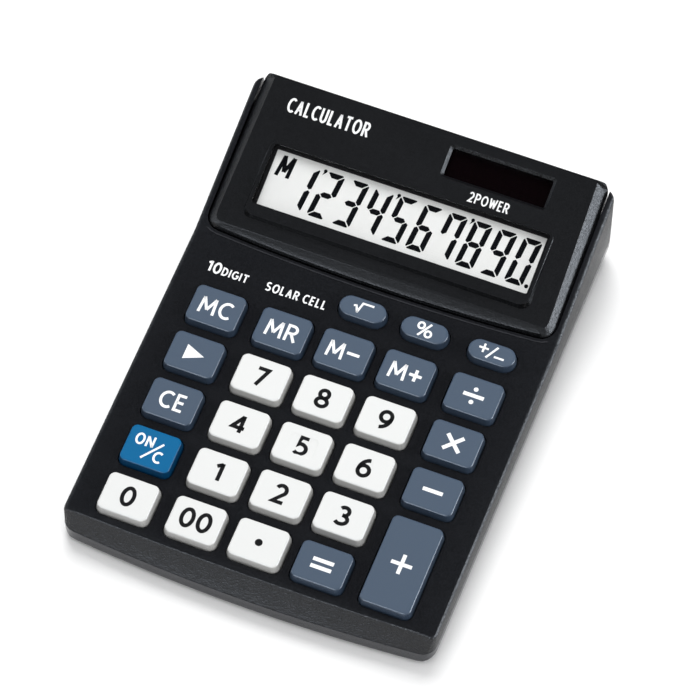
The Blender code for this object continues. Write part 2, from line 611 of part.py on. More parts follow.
# ---- key mat and circuit board ----------------------------------------------------------------
MAT_TOP = BOARD_TOP + 0.3 * MM + MAT_T
MAT_Y1 = CAVITY_STEP - 0.6 * MM
mat_mid = (BOARD_Y0 + MAT_Y1) / 2
to_mid = on_deck(0, mat_mid).inverted()
mat_obj = box("key_mat", -BOARD_HW + 0.4 * MM, BOARD_HW - 0.4 * MM, -(MAT_Y1 - BOARD_Y0) / 2 + 0.3 * MM,
              (MAT_Y1 - BOARD_Y0) / 2, MAT_TOP - MAT_T, MAT_TOP, RUBBER, on_deck(0, mat_mid))
for name, col, row, kind in KEYS:
    kx, ky = key_place(col, row)
    cut(mat_obj, stack("dome", [(disc(2.7 * MM, 12), MAT_TOP - MAT_T / 2), (disc(2.7 * MM, 12), MAT_TOP),
                                (disc(1.7 * MM, 12), MAT_TOP + DOME_H)], None, on_deck(kx, ky)), "UNION")
board_mid = (BOARD_Y0 + BOARD_Y1) / 2
board = box("circuit_board", -BOARD_HW, BOARD_HW, -(BOARD_Y1 - BOARD_Y0) / 2, (BOARD_Y1 - BOARD_Y0) / 2,
            BOARD_TOP - BOARD_T, BOARD_TOP, BOARD_GREEN, on_deck(0, board_mid))
for sx, sy in BOARD_SCREWS:
    cut(board, stack("board_bore", [(disc(SCREW_R + 0.3 * MM, 12), BOARD_TOP - BOARD_T - MM),
                                    (disc(SCREW_R + 0.3 * MM, 12), BOARD_TOP + MM)], None, on_deck(sx, sy)))

# chip blob and capacitor sit on the free strip of the board
stack("chip_blob", [(disc(5.0 * MM), BOARD_TOP + 0.3 * MM), (disc(4.6 * MM), BOARD_TOP + 0.8 * MM),
                    (disc(3.0 * MM), BOARD_TOP + 1.2 * MM)], CHIP_BLACK, on_deck(0, SEAM_Y + 3.4 * MM))
stack("capacitor", [(disc(2.0 * MM), BOARD_TOP + 0.3 * MM), (disc(2.0 * MM), BOARD_TOP + 1.3 * MM)],
      CAP_BLUE, on_deck(18 * MM, SEAM_Y + 4 * MM))

# ---- screws, feet and battery -----------------------------------------------------------------


def screw(name, matrix, length, flip=False):
    """Pan-head screw; local Z runs from the head into the thread."""
    slot = 0.25 * MM
    obj = stack(name, [(disc(SCREW_HEAD_R * 0.8), 0.0), (disc(SCREW_HEAD_R), 0.25 * MM),
                       (disc(SCREW_HEAD_R), 0.6 * MM)], STEEL, matrix)
    cut(obj, stack("shank", [(disc(SCREW_R), 0.4 * MM), (disc(SCREW_R), length)], None, matrix), "UNION")
    for w, d in ((1.9 * MM, 0.36 * MM), (0.36 * MM, 1.9 * MM)):
        cut(obj, stack("slot", [(round_rect(w, d, 0.05 * MM, 1), -MM), (round_rect(w, d, 0.05 * MM, 1), slot)],
                       None, matrix))
    return obj


PLACES = ["left_front", "left_middle", "left_rear", "right_front", "right_middle", "right_rear"]
for place, (bx, by) in zip(PLACES, BOSSES):
    screw("case_screw_" + place, at(bx, by, FOOT_H), 6.0 * MM)
screw("battery_door_screw", at(*DOOR_SCREW, FOOT_H), 4.4 * MM)
for side, (sx, sy) in zip(("left", "right"), BOARD_SCREWS):
    screw("board_screw_" + side, on_deck(sx, sy, BOARD_TOP + 0.3 * MM + 0.6 * MM)
          @ Matrix.Rotation(math.pi, 4, "X"), 4.6 * MM)
for place, (fx, fy) in zip(("left_front", "left_rear", "right_front", "right_rear"), FEET):
    stack("foot_" + place, [(disc(FOOT_R - 0.3 * MM, 24), 0.0), (disc(FOOT_R, 24), 0.3 * MM),
                            (disc(FOOT_R, 24), FOOT_H + 0.9 * MM - CLEAR)], FOOT_RUBBER, at(fx, fy, 0))
CELL_X, CELL_Y = DOOR_X, DOOR_Y + 2.4 * MM
CELL_Z = FLOOR_Z + 0.7 * MM
stack("button_cell", [(disc(CELL_R - 0.4 * MM, 24), CELL_Z), (disc(CELL_R, 24), CELL_Z + 0.4 * MM),
                      (disc(CELL_R, 24), CELL_Z + CELL_H)], CELL_STEEL, at(CELL_X, CELL_Y, 0))
box("battery_contact_top", -2 * MM, 2 * MM, -9 * MM, 6 * MM, CELL_Z + CELL_H + 0.3 * MM,
    CELL_Z + CELL_H + 0.7 * MM, NICKEL, at(CELL_X, CELL_Y, 0))
box("battery_contact_side", CELL_R + 0.3 * MM, CELL_R + 0.7 * MM, -3 * MM, 3 * MM, CELL_Z + 0.4 * MM,
    CELL_Z + CELL_H - 0.4 * MM, NICKEL, at(CELL_X, CELL_Y, 0))
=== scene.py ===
# %% [markdown]
# # A ten-digit desk calculator
#
# The calculator is a wedge of black plastic. Twenty-seven keys stand in a sloping deck, and a raised housing
# behind them holds a liquid crystal display and a small solar panel. This lesson dresses the engineering
# model: it keeps every place and size, and adds the fine surface that the eye reads, which is rounded edges,
# printed legends, display segments and moulded grain.

# %% Load the frame
import math

import bmesh
import bpy
import numpy as np
from mathutils import Matrix, Vector


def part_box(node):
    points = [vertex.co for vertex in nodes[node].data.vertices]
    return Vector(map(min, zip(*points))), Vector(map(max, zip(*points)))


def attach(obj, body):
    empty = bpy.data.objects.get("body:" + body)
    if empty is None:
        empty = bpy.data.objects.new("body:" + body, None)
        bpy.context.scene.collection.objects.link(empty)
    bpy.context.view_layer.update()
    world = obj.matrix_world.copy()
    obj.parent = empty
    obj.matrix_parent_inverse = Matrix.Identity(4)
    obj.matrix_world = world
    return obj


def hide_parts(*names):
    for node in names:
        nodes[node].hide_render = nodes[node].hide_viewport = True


MM = 0.001
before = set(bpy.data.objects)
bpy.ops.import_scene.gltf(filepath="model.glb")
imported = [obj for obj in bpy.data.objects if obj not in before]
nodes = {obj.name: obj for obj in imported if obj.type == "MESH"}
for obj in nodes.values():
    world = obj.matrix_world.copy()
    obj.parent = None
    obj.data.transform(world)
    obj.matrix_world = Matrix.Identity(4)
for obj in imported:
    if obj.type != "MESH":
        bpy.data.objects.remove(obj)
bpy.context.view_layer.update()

# %% [markdown]
# ## The camera
#
# A long lens far away keeps the keys nearly parallel, as in a product catalogue. The camera looks down at
# the keyboard from the front right, turned a little so that the calculator stands askew. Its axes are
# written as a direction and a height, and its place is a distance along that line of sight.

# %% Set up the camera
VIEW_TURN, VIEW_HEIGHT = math.radians(21.633), math.radians(59.404)
VIEW_DISTANCE = 1.06582
AIM_RIGHT, AIM_UP = 0.002414, 0.011397
LENS_LENGTH, SENSOR_WIDTH = 208.78, 36.0
toward = Vector((math.sin(VIEW_TURN) * math.cos(VIEW_HEIGHT),
                 -math.cos(VIEW_TURN) * math.cos(VIEW_HEIGHT), math.sin(VIEW_HEIGHT)))
right = Vector((math.cos(VIEW_TURN), math.sin(VIEW_TURN), 0.0))
up = toward.cross(right)
camera_data = bpy.data.cameras.new("studio_camera")
camera_data.lens, camera_data.sensor_width = LENS_LENGTH, SENSOR_WIDTH
camera_data.clip_start, camera_data.clip_end = 0.05, 20.0
camera = bpy.data.objects.new("studio_camera", camera_data)
camera.matrix_world = Matrix.Translation(right * AIM_RIGHT + up * AIM_UP + toward * VIEW_DISTANCE) @ Matrix(
    (right, up, toward)).transposed().to_4x4()
bpy.context.scene.collection.objects.link(camera)
bpy.context.scene.camera = camera
print("camera at", [round(c, 3) for c in camera.matrix_world.translation])

# %% [markdown]
# ## A surface from rings
#
# Nearly every small piece here is a stack of closed outlines: a key cap, a screw, a rubber foot. Each outline
# is an array of points, and skinning joins each one to the next with quads and closes both ends on a pole.
# Blender could loft curves instead, but arrays keep every size exact and need no clean-up.


# %% Skin a stack of outlines
def finish_mesh(name, verts, faces, smooth_angle=35.0):
    """A new object from points and faces, smooth where neighbouring faces turn less than the angle."""
    mesh = bpy.data.meshes.new(name)
    mesh.from_pydata(verts.tolist(), [], faces)
    mesh.polygons.foreach_set("use_smooth", np.ones(len(mesh.polygons), bool))
    mesh.set_sharp_from_angle(angle=math.radians(smooth_angle))
    piece = bpy.data.objects.new(name, mesh)
    bpy.context.scene.collection.objects.link(piece)
    return piece


def skin(rings, first=0):
    """Points and faces of a closed skin over rings (k, n, 3), listed from the bottom centre out and up.

    Point i of ring r joins point i of ring r + 1, and each end is a fan to the mean of its ring."""
    k, n, _ = rings.shape
    verts = np.concatenate([rings.reshape(-1, 3), rings[:1].mean(axis=1), rings[-1:].mean(axis=1)])
    i = np.arange(n)
    j = (i + 1) % n
    base = np.arange(k - 1)[:, None] * n
    quads = np.stack([base + i, base + j, base + n + j, base + n + i], axis=-1).reshape(-1, 4)
    top = (k - 1) * n
    lower = np.stack([j, i, np.full(n, k * n)], axis=-1)
    upper = np.stack([top + i, top + j, np.full(n, k * n + 1)], axis=-1)
    faces = [(f + first).tolist() for f in (quads, lower, upper)]
    return verts, faces[0] + faces[1] + faces[2]


def rounded_rectangle(width, depth, radius, per_corner=9):
    """Outline (n, 2): each corner's centre plus radius times (cos a, sin a), a over a quarter turn each."""
    radius = min(radius, width / 2 - 1e-6, depth / 2 - 1e-6)
    a = (np.arange(4)[:, None] * np.pi / 2 + np.linspace(0, np.pi / 2, per_corner)).ravel()
    side_x = np.repeat([1, -1, -1, 1], per_corner) * (width / 2 - radius)
    side_y = np.repeat([1, 1, -1, -1], per_corner) * (depth / 2 - radius)
    return np.stack([side_x + radius * np.cos(a), side_y + radius * np.sin(a)], axis=-1)


def level(outline, z):
    """An outline (n, 2) lifted to the height z."""
    return np.column_stack([outline, np.full(len(outline), z)])


def placed(points, matrix):
    """Points (n, 3) carried by a 4 x 4 matrix: rotation times point, plus translation."""
    m = np.array(matrix)
    return points @ m[:3, :3].T + m[:3, 3]


# %% [markdown]
# ## Reading places off the model
#
# The deck and the display housing slope at two different angles. A flat piece of the model already lies in
# each plane, so its largest upward face gives the plane's normal, and its corners give the middle and size.
# Everything printed or laid on that plane is then drawn flat and carried there by one matrix.


# %% Frames on flat faces
def corners_of(node):
    co = np.zeros(len(nodes[node].data.vertices) * 3, np.float32)
    nodes[node].data.vertices.foreach_get("co", co)
    return co.reshape(-1, 3).astype(float)


def flat_frame(node):
    """Matrix at the middle of a node's top face: local z is its normal n, x is world X and y is n cross x."""
    faces = nodes[node].data.polygons
    area, normal = np.zeros(len(faces)), np.zeros(len(faces) * 3)
    faces.foreach_get("area", area)
    faces.foreach_get("normal", normal)
    normal = normal.reshape(-1, 3)
    best = np.argmax(np.where(normal[:, 2] > 0.9, area, 0.0))
    n = Vector(normal[best]).normalized()
    n.x = 0.0
    n.normalize()
    x = Vector((1.0, 0.0, 0.0))
    turn = Matrix((x, n.cross(x), n)).transposed().to_4x4()
    local = placed(corners_of(node), turn.inverted())
    low, high = local.min(axis=0), local.max(axis=0)
    return turn @ Matrix.Translation(((low[0] + high[0]) / 2, (low[1] + high[1]) / 2, high[2])), local


KEY_STAND = 2.3 * MM
LENS_SINK = 1.35 * MM
lens_frame, lens_local = flat_frame("display_lens")
lcd_frame = flat_frame("lcd_panel")[0]
key_frames = {name: flat_frame(name) for name in nodes if name.startswith("key_") and name != "key_mat"}
deck_frame = key_frames["key_5"][0] @ Matrix.Translation((0, 0, -KEY_STAND))
housing_frame = lens_frame @ Matrix.Translation((0, 0, LENS_SINK))


def on_plane(plane, x, y):
    """The same plane's frame, moved along it until its origin has world X = x and Y = y."""
    here = plane.translation
    run = (y - here.y) / plane.to_3x3().col[1].y
    return plane @ Matrix.Translation((x - here.x, run, 0.0))


for name, plane in (("deck", deck_frame), ("housing", housing_frame)):
    print(name, "slopes", round(math.degrees(math.asin(plane.to_3x3().col[1].z)), 2), "degrees")

# %% [markdown]
# ## Writing a finish as arithmetic
#
# A procedural finish is mostly sums of textures. One small class wraps a socket so that `0.4 + 0.1 * grain`
# adds the Math nodes by itself. Every other node comes from one method, which takes the node's type, its
# settings and its sockets. Patterns are laid in Object coordinates, in metres, so 1 / size is their scale.


# %% A finish and its sockets
class Value:
    """One output socket; arithmetic on it adds Math nodes."""

    def __init__(self, finish, socket):
        self.finish, self.socket = finish, socket

    def maths(self, operation, other=0.0, swap=False):
        pair = (other, self) if swap else (self, other)
        return self.finish.node("ShaderNodeMath", {"operation": operation}, {0: pair[0], 1: pair[1]})

    def __add__(self, other):
        return self.maths("ADD", other)

    def __sub__(self, other):
        return self.maths("SUBTRACT", other)

    def __rsub__(self, other):
        return self.maths("SUBTRACT", other, swap=True)

    def __mul__(self, other):
        return self.maths("MULTIPLY", other)

    def __truediv__(self, other):
        return self.maths("DIVIDE", other)

    def __rtruediv__(self, other):
        return self.maths("DIVIDE", other, swap=True)

    def __gt__(self, other):
        return self.maths("GREATER_THAN", other)

    def __abs__(self):
        return self.maths("ABSOLUTE")

    __radd__, __rmul__ = __add__, __mul__

    def clamped(self):
        return self.maths("MINIMUM", 1.0).maths("MAXIMUM", 0.0)


class Finish:
    """A material around one Principled shader, whose constant sockets are given by name."""

    def __init__(self, name, **constants):
        self.material = bpy.data.materials.new(name)
        self.material.use_nodes = True
        self.tree = self.material.node_tree
        self.shader = self.tree.nodes["Principled BSDF"]
        for socket, value in constants.items():
            self.shader.inputs[socket.replace("_", " ")].default_value = value
        self.place = self.node("ShaderNodeTexCoord", out="Object")

    def node(self, kind, settings=None, sockets=None, out=0):
        """Add a node: settings first, a ramp's stops among them, then values or links; returns one output."""
        made = self.tree.nodes.new(kind)
        for key, value in (settings or {}).items():
            if key == "stops":
                ramp = made.color_ramp.elements
                for spot, colour in value[2:]:
                    ramp.new(spot)
                for element, (spot, colour) in zip(ramp, value):
                    element.position, element.color = spot, colour
            else:
                setattr(made, key, value)
        for key, value in (sockets or {}).items():
            self.feed(made.inputs[key], value)
        return Value(self, made.outputs[out])

    def feed(self, socket, value):
        if isinstance(value, Value):
            self.tree.links.new(value.socket, socket)
        else:
            socket.default_value = value

    def set(self, **sockets):
        for socket, value in sockets.items():
            self.feed(self.shader.inputs[socket.replace("_", " ")], value)
        return self

    def noise(self, size, detail=2.0, roughness=0.55, place=None):
        """Smooth noise from 0 to 1 whose lumps are about `size` metres across."""
        return self.node("ShaderNodeTexNoise", {}, {
            "Vector": place or self.place, "Scale": 1 / size, "Detail": detail, "Roughness": roughness})

    def axis(self, letter, place=None):
        return self.node("ShaderNodeSeparateXYZ", {}, {"Vector": place or self.place}, out=letter)

    def mix(self, amount, first, second):
        return self.node("ShaderNodeMix", {"data_type": "RGBA"}, {0: amount, 6: first, 7: second}, out=2)

    def stretched(self, x, y, z):
        return self.node("ShaderNodeMapping", {}, {"Vector": self.place, "Scale": (x, y, z)})

    def relief(self, height, distance):
        bump = self.node("ShaderNodeBump", {}, {"Height": height, "Distance": distance, "Strength": 1.0})
        return self.set(Normal=bump)


def grey(v, tint=(1.0, 1.0, 1.0)):
    return (v * tint[0], v * tint[1], v * tint[2], 1.0)


# %% [markdown]
# ## Moulded plastic
#
# The case is injection moulded in a tool whose steel was spark eroded, which leaves a fine even stipple of
# about 0.4 mm. Two sizes of noise make the stipple, in relief, in gloss and, on black, plainly in tone too.
# A third, much larger one stands for handling: skin oil makes soft patches a little glossier.


# %% Mix the plastics
def moulded(name, dark, light, gloss, stipple=0.36 * MM, depth=0.15 * MM, tint=(0.92, 0.97, 1.15),
            steep=0.40):
    """Stippled plastic: tone = dark + (light - dark) x grain, roughness = gloss +- grain and patches.
    `bite` scales depth and contrast from 0.3 on flats to 1 on slopes, chosen: in a low light a full
    stipple looked too coarse on the deck.
    Walls whose normal rises less than `steep` are smoother: a deep stipple would lock them in the mould.
    Their tone is also pulled towards `dark`, which is painted shade."""
    finish = Finish(name, Specular_IOR_Level=0.34)
    fine = finish.noise(stipple, detail=1.5)
    broad = finish.noise(stipple * 2.7, detail=1.0)
    grain = (fine * 0.85 + broad * 0.15 - 0.38) * 4.2
    patches = finish.noise(17 * MM, detail=3.0)
    facing = abs(finish.axis("Z", finish.node("ShaderNodeNewGeometry", out="Normal")))
    smooth_shaded_wall = ((steep - facing) * 4.5).clamped()
    bite = ((0.93 - facing) * 4.0).clamped() * 0.70 + 0.30
    speck = (grain.clamped() - 0.5) * bite + 0.5
    # Painted shade: the tone of steep walls is pulled towards the dark colour
    finish.set(Base_Color=finish.mix(speck * (1.0 - smooth_shaded_wall * 0.7), grey(dark, tint), grey(light, tint)),
               Roughness=gloss + (speck - 0.5) * 0.14 + (patches - 0.5) * 0.08 - smooth_shaded_wall * 0.24)
    return finish.relief((fine * 0.8 + broad * 0.6) * bite * (1.0 - smooth_shaded_wall * 0.75), depth)


def satin(name, colour, shade, gloss, shine=0.45):
    """Smooth key plastic: a breath of mottling, soft handling patches, and painted shade on its steep sides.
    """
    finish = Finish(name, Specular_IOR_Level=shine)
    mottle = finish.noise(0.5 * MM, detail=2.0)
    patches = finish.noise(6 * MM, detail=3.0)
    facing = finish.axis("Z", finish.node("ShaderNodeNewGeometry", out="Normal"))
    painted_side_shade = ((0.86 - facing) * 3.0).clamped()
    tone = finish.mix(mottle * 0.12, colour, shade)
    # Painted shade: faces that rise steeply are mixed towards the shade colour
    finish.set(Base_Color=finish.mix(painted_side_shade, tone, shade),
               Roughness=gloss + (patches - 0.5) * 0.14 + (mottle - 0.5) * 0.06)
    return finish.relief(mottle * 0.6 + finish.noise(0.18 * MM, detail=1.0) * 0.4, 0.006 * MM)


case_black = moulded("case_black", 0.0006, 0.0100, 0.45, 0.44 * MM, 0.26 * MM, (0.88, 0.96, 1.28), 0.08)
lower_black = moulded("lower_black", 0.026, 0.046, 0.38)
# With steep at 0.66, the housing's sloping faces count as walls too and take the painted shade
housing_black = moulded("housing_black", 0.0008, 0.0100, 0.42, 0.36 * MM, 0.16 * MM, steep=0.66)
key_white = satin("key_white", (0.64, 0.65, 0.645, 1), (0.52, 0.52, 0.505, 1), 0.36)
key_slate = satin("key_slate", (0.054, 0.080, 0.120, 1), (0.034, 0.054, 0.088, 1), 0.38)
key_blue = satin("key_blue", (0.0005, 0.108, 0.262, 1), (0.0005, 0.050, 0.135, 1), 0.42, shine=0.18)
plastics = (case_black, lower_black, housing_black, key_white, key_slate, key_blue)
print("plastics:", [f.material.name for f in plastics])

# %% [markdown]
# ## Inks, display and glass
#
# Legends are pad printed: a thin, slightly uneven film that is a little glossier than the plastic. A liquid
# crystal display is a pale reflector behind a polariser, with a faint brushed grain along its rubbing
# direction, and its segments are nearly black. The solar cell is amorphous silicon on glass, cut by fine
# bright lines into four strips in series. The lens and the solar cover are clear and smoked acrylic.


# %% Mix inks, display and glass
def ink(name, colour, gloss=0.42, shine=0.5):
    finish = Finish(name, Specular_IOR_Level=shine)
    film = finish.noise(0.22 * MM, detail=2.0)
    weak = tuple(c * 0.86 for c in colour[:3]) + (1.0,)
    finish.set(Base_Color=finish.mix(film * 0.5, colour, weak), Roughness=gloss + (film - 0.5) * 0.15)
    return finish.relief(film, 0.004 * MM)


def brushed(name, colour, gloss, metal, size=0.08 * MM):
    """Drawn metal or a rubbed film: noise stretched forty times along X, in tone and gloss."""
    finish = Finish(name, Metallic=metal)
    lines = finish.noise(size, detail=3.0, place=finish.stretched(0.025, 1.0, 1.0))
    dull = tuple(c * 0.78 for c in colour[:3]) + (1.0,)
    finish.set(Base_Color=finish.mix(lines, colour, dull), Roughness=gloss + (lines - 0.5) * 0.2)
    return finish.relief(lines, 0.004 * MM)


print_white = ink("print_white", (0.80, 0.81, 0.82, 1))
legend_white = ink("legend_white", (0.84, 0.85, 0.86, 1))
legend_black = ink("legend_black", (0.008, 0.008, 0.009, 1), 0.34)
segment_black = ink("segment_black", (0.0015, 0.002, 0.003, 1), 0.6, shine=0.08)
border_black = ink("border_black", (0.012, 0.012, 0.013, 1), 0.3)
lcd_face = brushed("lcd_face", (0.82, 0.83, 0.82, 1), 0.45, 0.0, 0.05 * MM)
screw_steel = brushed("screw_steel", (0.56, 0.57, 0.59, 1), 0.34, 1.0)
cell_steel = brushed("cell_steel", (0.64, 0.65, 0.67, 1), 0.26, 1.0)
nickel = brushed("contact_nickel", (0.66, 0.63, 0.57, 1), 0.28, 1.0)


def acrylic(name, colour, alpha):
    """Clear cover: nearly no body of its own, with hair scratches that only break up its gloss."""
    finish = Finish(name, IOR=1.49)
    hair = finish.noise(0.9 * MM, detail=6.0, roughness=0.8, place=finish.stretched(1.0, 0.06, 1.0))
    dust = finish.noise(5 * MM, detail=2.0)
    return finish.set(Base_Color=finish.mix(dust, colour, tuple(c * 0.9 for c in colour[:3]) + (1.0,)),
                      Roughness=0.04 + hair * 0.05, Alpha=alpha + (dust - 0.5) * 0.02)


clear_lens = acrylic("clear_lens", (0.02, 0.02, 0.02, 1), 0.03)
smoked = acrylic("smoked_cover", (0.0030, 0.0015, 0.0020, 1), 0.80)

# %% [markdown]
# ## Rubber, board and the parts inside
#
# The inside is rarely seen, yet each piece keeps its own matter: silicone for the key mat, green mask over
# copper tracks, black epoxy over the chip, carbon-loaded rubber for the strip that feeds the display.


# %% Mix rubber and electronics
def rubber(name, dark, light, size=0.25 * MM):
    finish = Finish(name)
    grit = finish.noise(size, detail=3.0)
    dust = finish.noise(4 * MM, detail=3.0)
    finish.set(Base_Color=finish.mix(grit * 0.6 + dust * 0.4, dark, light), Roughness=0.74 + grit * 0.2)
    return finish.relief(grit, 0.03 * MM)


def solder_mask(name):
    """Tracks about 0.44 mm wide every 1.4 mm: the mask lies lighter and higher over the copper."""
    finish = Finish(name)
    wander = (finish.noise(9 * MM, detail=1.0) - 0.5) * 0.006
    phase = (finish.axis("X") + wander) * (2 * math.pi / (1.4 * MM))
    track = finish.node("ShaderNodeMath", {"operation": "SINE"}, {0: phase}) > 0.55
    haze = finish.noise(0.7 * MM)
    return finish.set(Base_Color=finish.mix(track, (0.010, 0.085, 0.028, 1), (0.028, 0.20, 0.07, 1)),
                      Roughness=0.34 + haze * 0.16).relief(track, 0.02 * MM)


def solar_cells(name, node):
    """Four strips in series: a thin line wherever the place along X is near a quarter of the panel."""
    low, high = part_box(node)
    finish = Finish(name, Coat_Roughness=0.05)
    along = (finish.axis("X") - low.x) / (high.x - low.x) * 4.0
    near = abs(along - finish.node("ShaderNodeMath", {"operation": "ROUND"}, {0: along}))
    line = near.maths("LESS_THAN", 0.02)
    cloud = finish.noise(3 * MM, detail=4.0)
    film = finish.mix(cloud, (0.004, 0.003, 0.005, 1), (0.010, 0.005, 0.008, 1))
    return finish.set(Base_Color=finish.mix(line, film, (0.05, 0.04, 0.04, 1)), Roughness=0.2 + cloud * 0.12)


grey_silicone = rubber("grey_silicone", (0.10, 0.10, 0.105, 1), (0.15, 0.15, 0.155, 1))
foot_rubber = rubber("foot_rubber", (0.010, 0.010, 0.011, 1), (0.030, 0.029, 0.028, 1))
strip_rubber = rubber("strip_rubber", (0.42, 0.15, 0.15, 1), (0.10, 0.05, 0.05, 1), 0.12 * MM)
epoxy = moulded("chip_epoxy", 0.006, 0.016, 0.36, 0.6 * MM, 0.02 * MM, (1, 1, 1))
sleeve = satin("capacitor_sleeve", (0.02, 0.06, 0.20, 1), (0.01, 0.03, 0.12, 1), 0.36)
board_mask = solder_mask("board_mask")
solar_film = solar_cells("solar_film", "solar_cell")

# %% [markdown]
# ## The mouldings
#
# The deck, the base, the display housing and the battery door already have their true shape, in flat
# triangles. A copy of each is merged so that its faces share their edges, and a Bevel modifier rounds every
# edge that a mould would round. Subdividing it would soften the apertures too, and modelling it again would
# only repeat sizes.


# %% Round the mouldings
EDGE_TURN = math.radians(30.0)


def dress(piece, finish, body, slot, *replaced):
    """Give a piece its finish and body, and hide the nodes that it stands for; `slot` is not used."""
    piece.data.materials.clear()
    piece.data.materials.append(finish.material)
    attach(piece, body)
    if replaced:
        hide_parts(*replaced)
    return piece


def merged_copy(node, name):
    """The node's points and triangles in a new mesh, with doubles merged so that faces share their edges."""
    source = nodes[node].data
    corner = np.zeros(len(source.polygons) * 3, np.int32)
    source.polygons.foreach_get("vertices", corner)
    mesh = bpy.data.meshes.new(name)
    mesh.from_pydata(corners_of(node).tolist(), [], corner.reshape(-1, 3).tolist())
    bm = bmesh.new()
    bm.from_mesh(mesh)
    bmesh.ops.remove_doubles(bm, verts=bm.verts, dist=3e-6)
    bm.to_mesh(mesh)
    bm.free()
    piece = bpy.data.objects.new(name, mesh)
    bpy.context.scene.collection.objects.link(piece)
    return piece


def rounded(node, name, width, finish, slot):
    """A dressed copy of a node whose edges, where faces turn more than EDGE_TURN, are rounded by `width`."""
    piece = merged_copy(node, name)
    mesh = piece.data
    mesh.polygons.foreach_set("use_smooth", np.ones(len(mesh.polygons), bool))
    mesh.set_sharp_from_angle(angle=EDGE_TURN)
    bevel = piece.modifiers.new("moulded_edges", "BEVEL")
    bevel.width, bevel.segments = width, 2
    bevel.limit_method, bevel.angle_limit = "ANGLE", EDGE_TURN
    bevel.harden_normals = True
    bevel.miter_outer = "MITER_ARC"
    print(name, "joined into", len(mesh.polygons), "faces")
    return dress(piece, finish, "case", slot, node)


rounded("upper_case", "upper_shell", 0.16 * MM, case_black, "upper_case")
rounded("lower_case", "lower_shell", 0.18 * MM, lower_black, "lower_case")
rounded("display_housing", "display_cover", 0.24 * MM, housing_black, "display_housing")
rounded("battery_door", "battery_door_cover", 0.20 * MM, lower_black, "lower_case")

# %% [markdown]
# ## The key caps
#
# A cap is moulded with a little draft: its sides lean in, and a small round runs along the top edge. In
# outlines, that is the full size at the deck, a narrower one below the round, a quarter turn of outlines for
# the round, and one more just inside it that keeps the flat top flat when it is shaded. Under the deck a
# retaining lip and a square rod reach the rubber mat. The middle key has a shallow dish that a finger finds.


# %% Make the key caps
TOP_ROUND_H, TOP_ROUND_V = 0.52 * MM, 0.48 * MM
LEAN = 0.32 * MM
SKIN_T, LIP_T, LIP_OUT, ROD = 2.1 * MM, 0.8 * MM, 0.85 * MM, 3.2 * MM
DISH_R, DISH_DEEP = 4.4 * MM, 0.16 * MM
CAP_CORNER, OVAL_BELOW = 1.9 * MM, 8.0 * MM


def cap_rings(width, depth, radius, foot, dish):
    """Outlines from the foot up: straight, then leaning in by LEAN, then a quarter ellipse of
    inset = LEAN + h (1 - cos a) and height = -v (1 - sin a), then flat or dished in the middle."""
    def ring(inset, z):
        return level(rounded_rectangle(width - 2 * inset, depth - 2 * inset, radius - 0.7 * inset), z)
    a = np.linspace(0, np.pi / 2, 7)
    rings = [ring(0.0, foot), ring(0.0, -KEY_STAND), ring(LEAN * 0.92, -TOP_ROUND_V - 0.12 * MM)]
    rings += [ring(LEAN + TOP_ROUND_H * (1 - np.cos(t)), -TOP_ROUND_V * (1 - np.sin(t))) for t in a]
    rings.append(ring(LEAN + TOP_ROUND_H + 0.12 * MM, 0.0))
    if dish:
        polar = np.arctan2(rings[-1][:, 1], rings[-1][:, 0])
        circle = np.column_stack([np.cos(polar), np.sin(polar)])
        rings += [level(circle * (DISH_R + 0.05 * MM), 0.0)]
        rings += [level(circle * DISH_R * s, -DISH_DEEP * (1 - s * s) - 0.02 * MM * (s < 1)) for s in
                  (1.0, 0.97, 0.85, 0.65, 0.4, 0.15)]
    return np.stack(rings)


KINDS = {"white": (key_white, legend_black), "slate": (key_slate, legend_white),
         "blue": (key_blue, legend_white)}


def kind_of(name):
    if name == "key_on_clear":
        return "blue"
    return "white" if name[4:].isdigit() or name == "key_point" else "slate"


def key_size(local):
    """Width and depth where the cap passes the deck, from the model's points at that height."""
    at_deck = local[np.abs(local[:, 2] - local[:, 2].max() + KEY_STAND) < 0.05 * MM]
    return np.ptp(at_deck[:, 0]), np.ptp(at_deck[:, 1])


for name, (top, local) in key_frames.items():
    width, depth = key_size(local)
    pill = depth < OVAL_BELOW
    radius = depth / 2 - 0.05 * MM if pill else CAP_CORNER
    foot = -KEY_STAND - SKIN_T - LIP_T
    parts = [cap_rings(width, depth, radius, foot, name == "key_5")]
    lip = width - (depth if pill else 2.0 * MM)
    parts.append(np.stack([level(rounded_rectangle(lip, depth + 2 * LIP_OUT, 0.8 * MM), z) for z in
                           (foot + 0.02 * MM, foot + LIP_T)]))
    parts.append(np.stack([level(rounded_rectangle(ROD, ROD, 1.0 * MM), z) for z in
                           (foot - 0.4 * MM, foot + 0.3 * MM)]))
    verts, faces = [], []
    for rings in parts:
        v, f = skin(rings, sum(len(done) for done in verts))
        verts.append(v)
        faces += f
    cap = finish_mesh(name.replace("key_", "cap_", 1), placed(np.concatenate(verts), top), faces)
    kind = kind_of(name)
    dress(cap, KINDS[kind][0], name, "key_" + kind, name)
print(len(key_frames), "caps of", [round(s / MM, 2) for s in key_size(key_frames["key_5"][1])], "mm")

# %% [markdown]
# ## Legends
#
# A legend is a film of ink about 0.05 mm thick on the cap. Each figure is drawn as the middle line of a pen
# stroke, and a flat strip of even width is carried along it. Blender's text object would be quicker, but its
# own font has no bold weight, and thickening its outlines folds them over at sharp corners. The line is
# written in a box one unit high, so that one figure serves at every size. Films ride with their caps.

# %% Strokes and plates
FILM = 0.05 * MM
SINK = 0.01 * MM


def slab(outline, thick=FILM):
    """Points and faces of a flat plate: the outline (n, 2) at two heights, with whole faces as its ends."""
    n = len(outline)
    verts = np.concatenate([level(outline, -SINK), level(outline, thick - SINK)])
    i = np.arange(n)
    j = (i + 1) % n
    sides = np.stack([i, j, n + j, n + i], axis=-1).tolist()
    return verts, sides + [list(range(n))[::-1], list(range(n, 2 * n))]


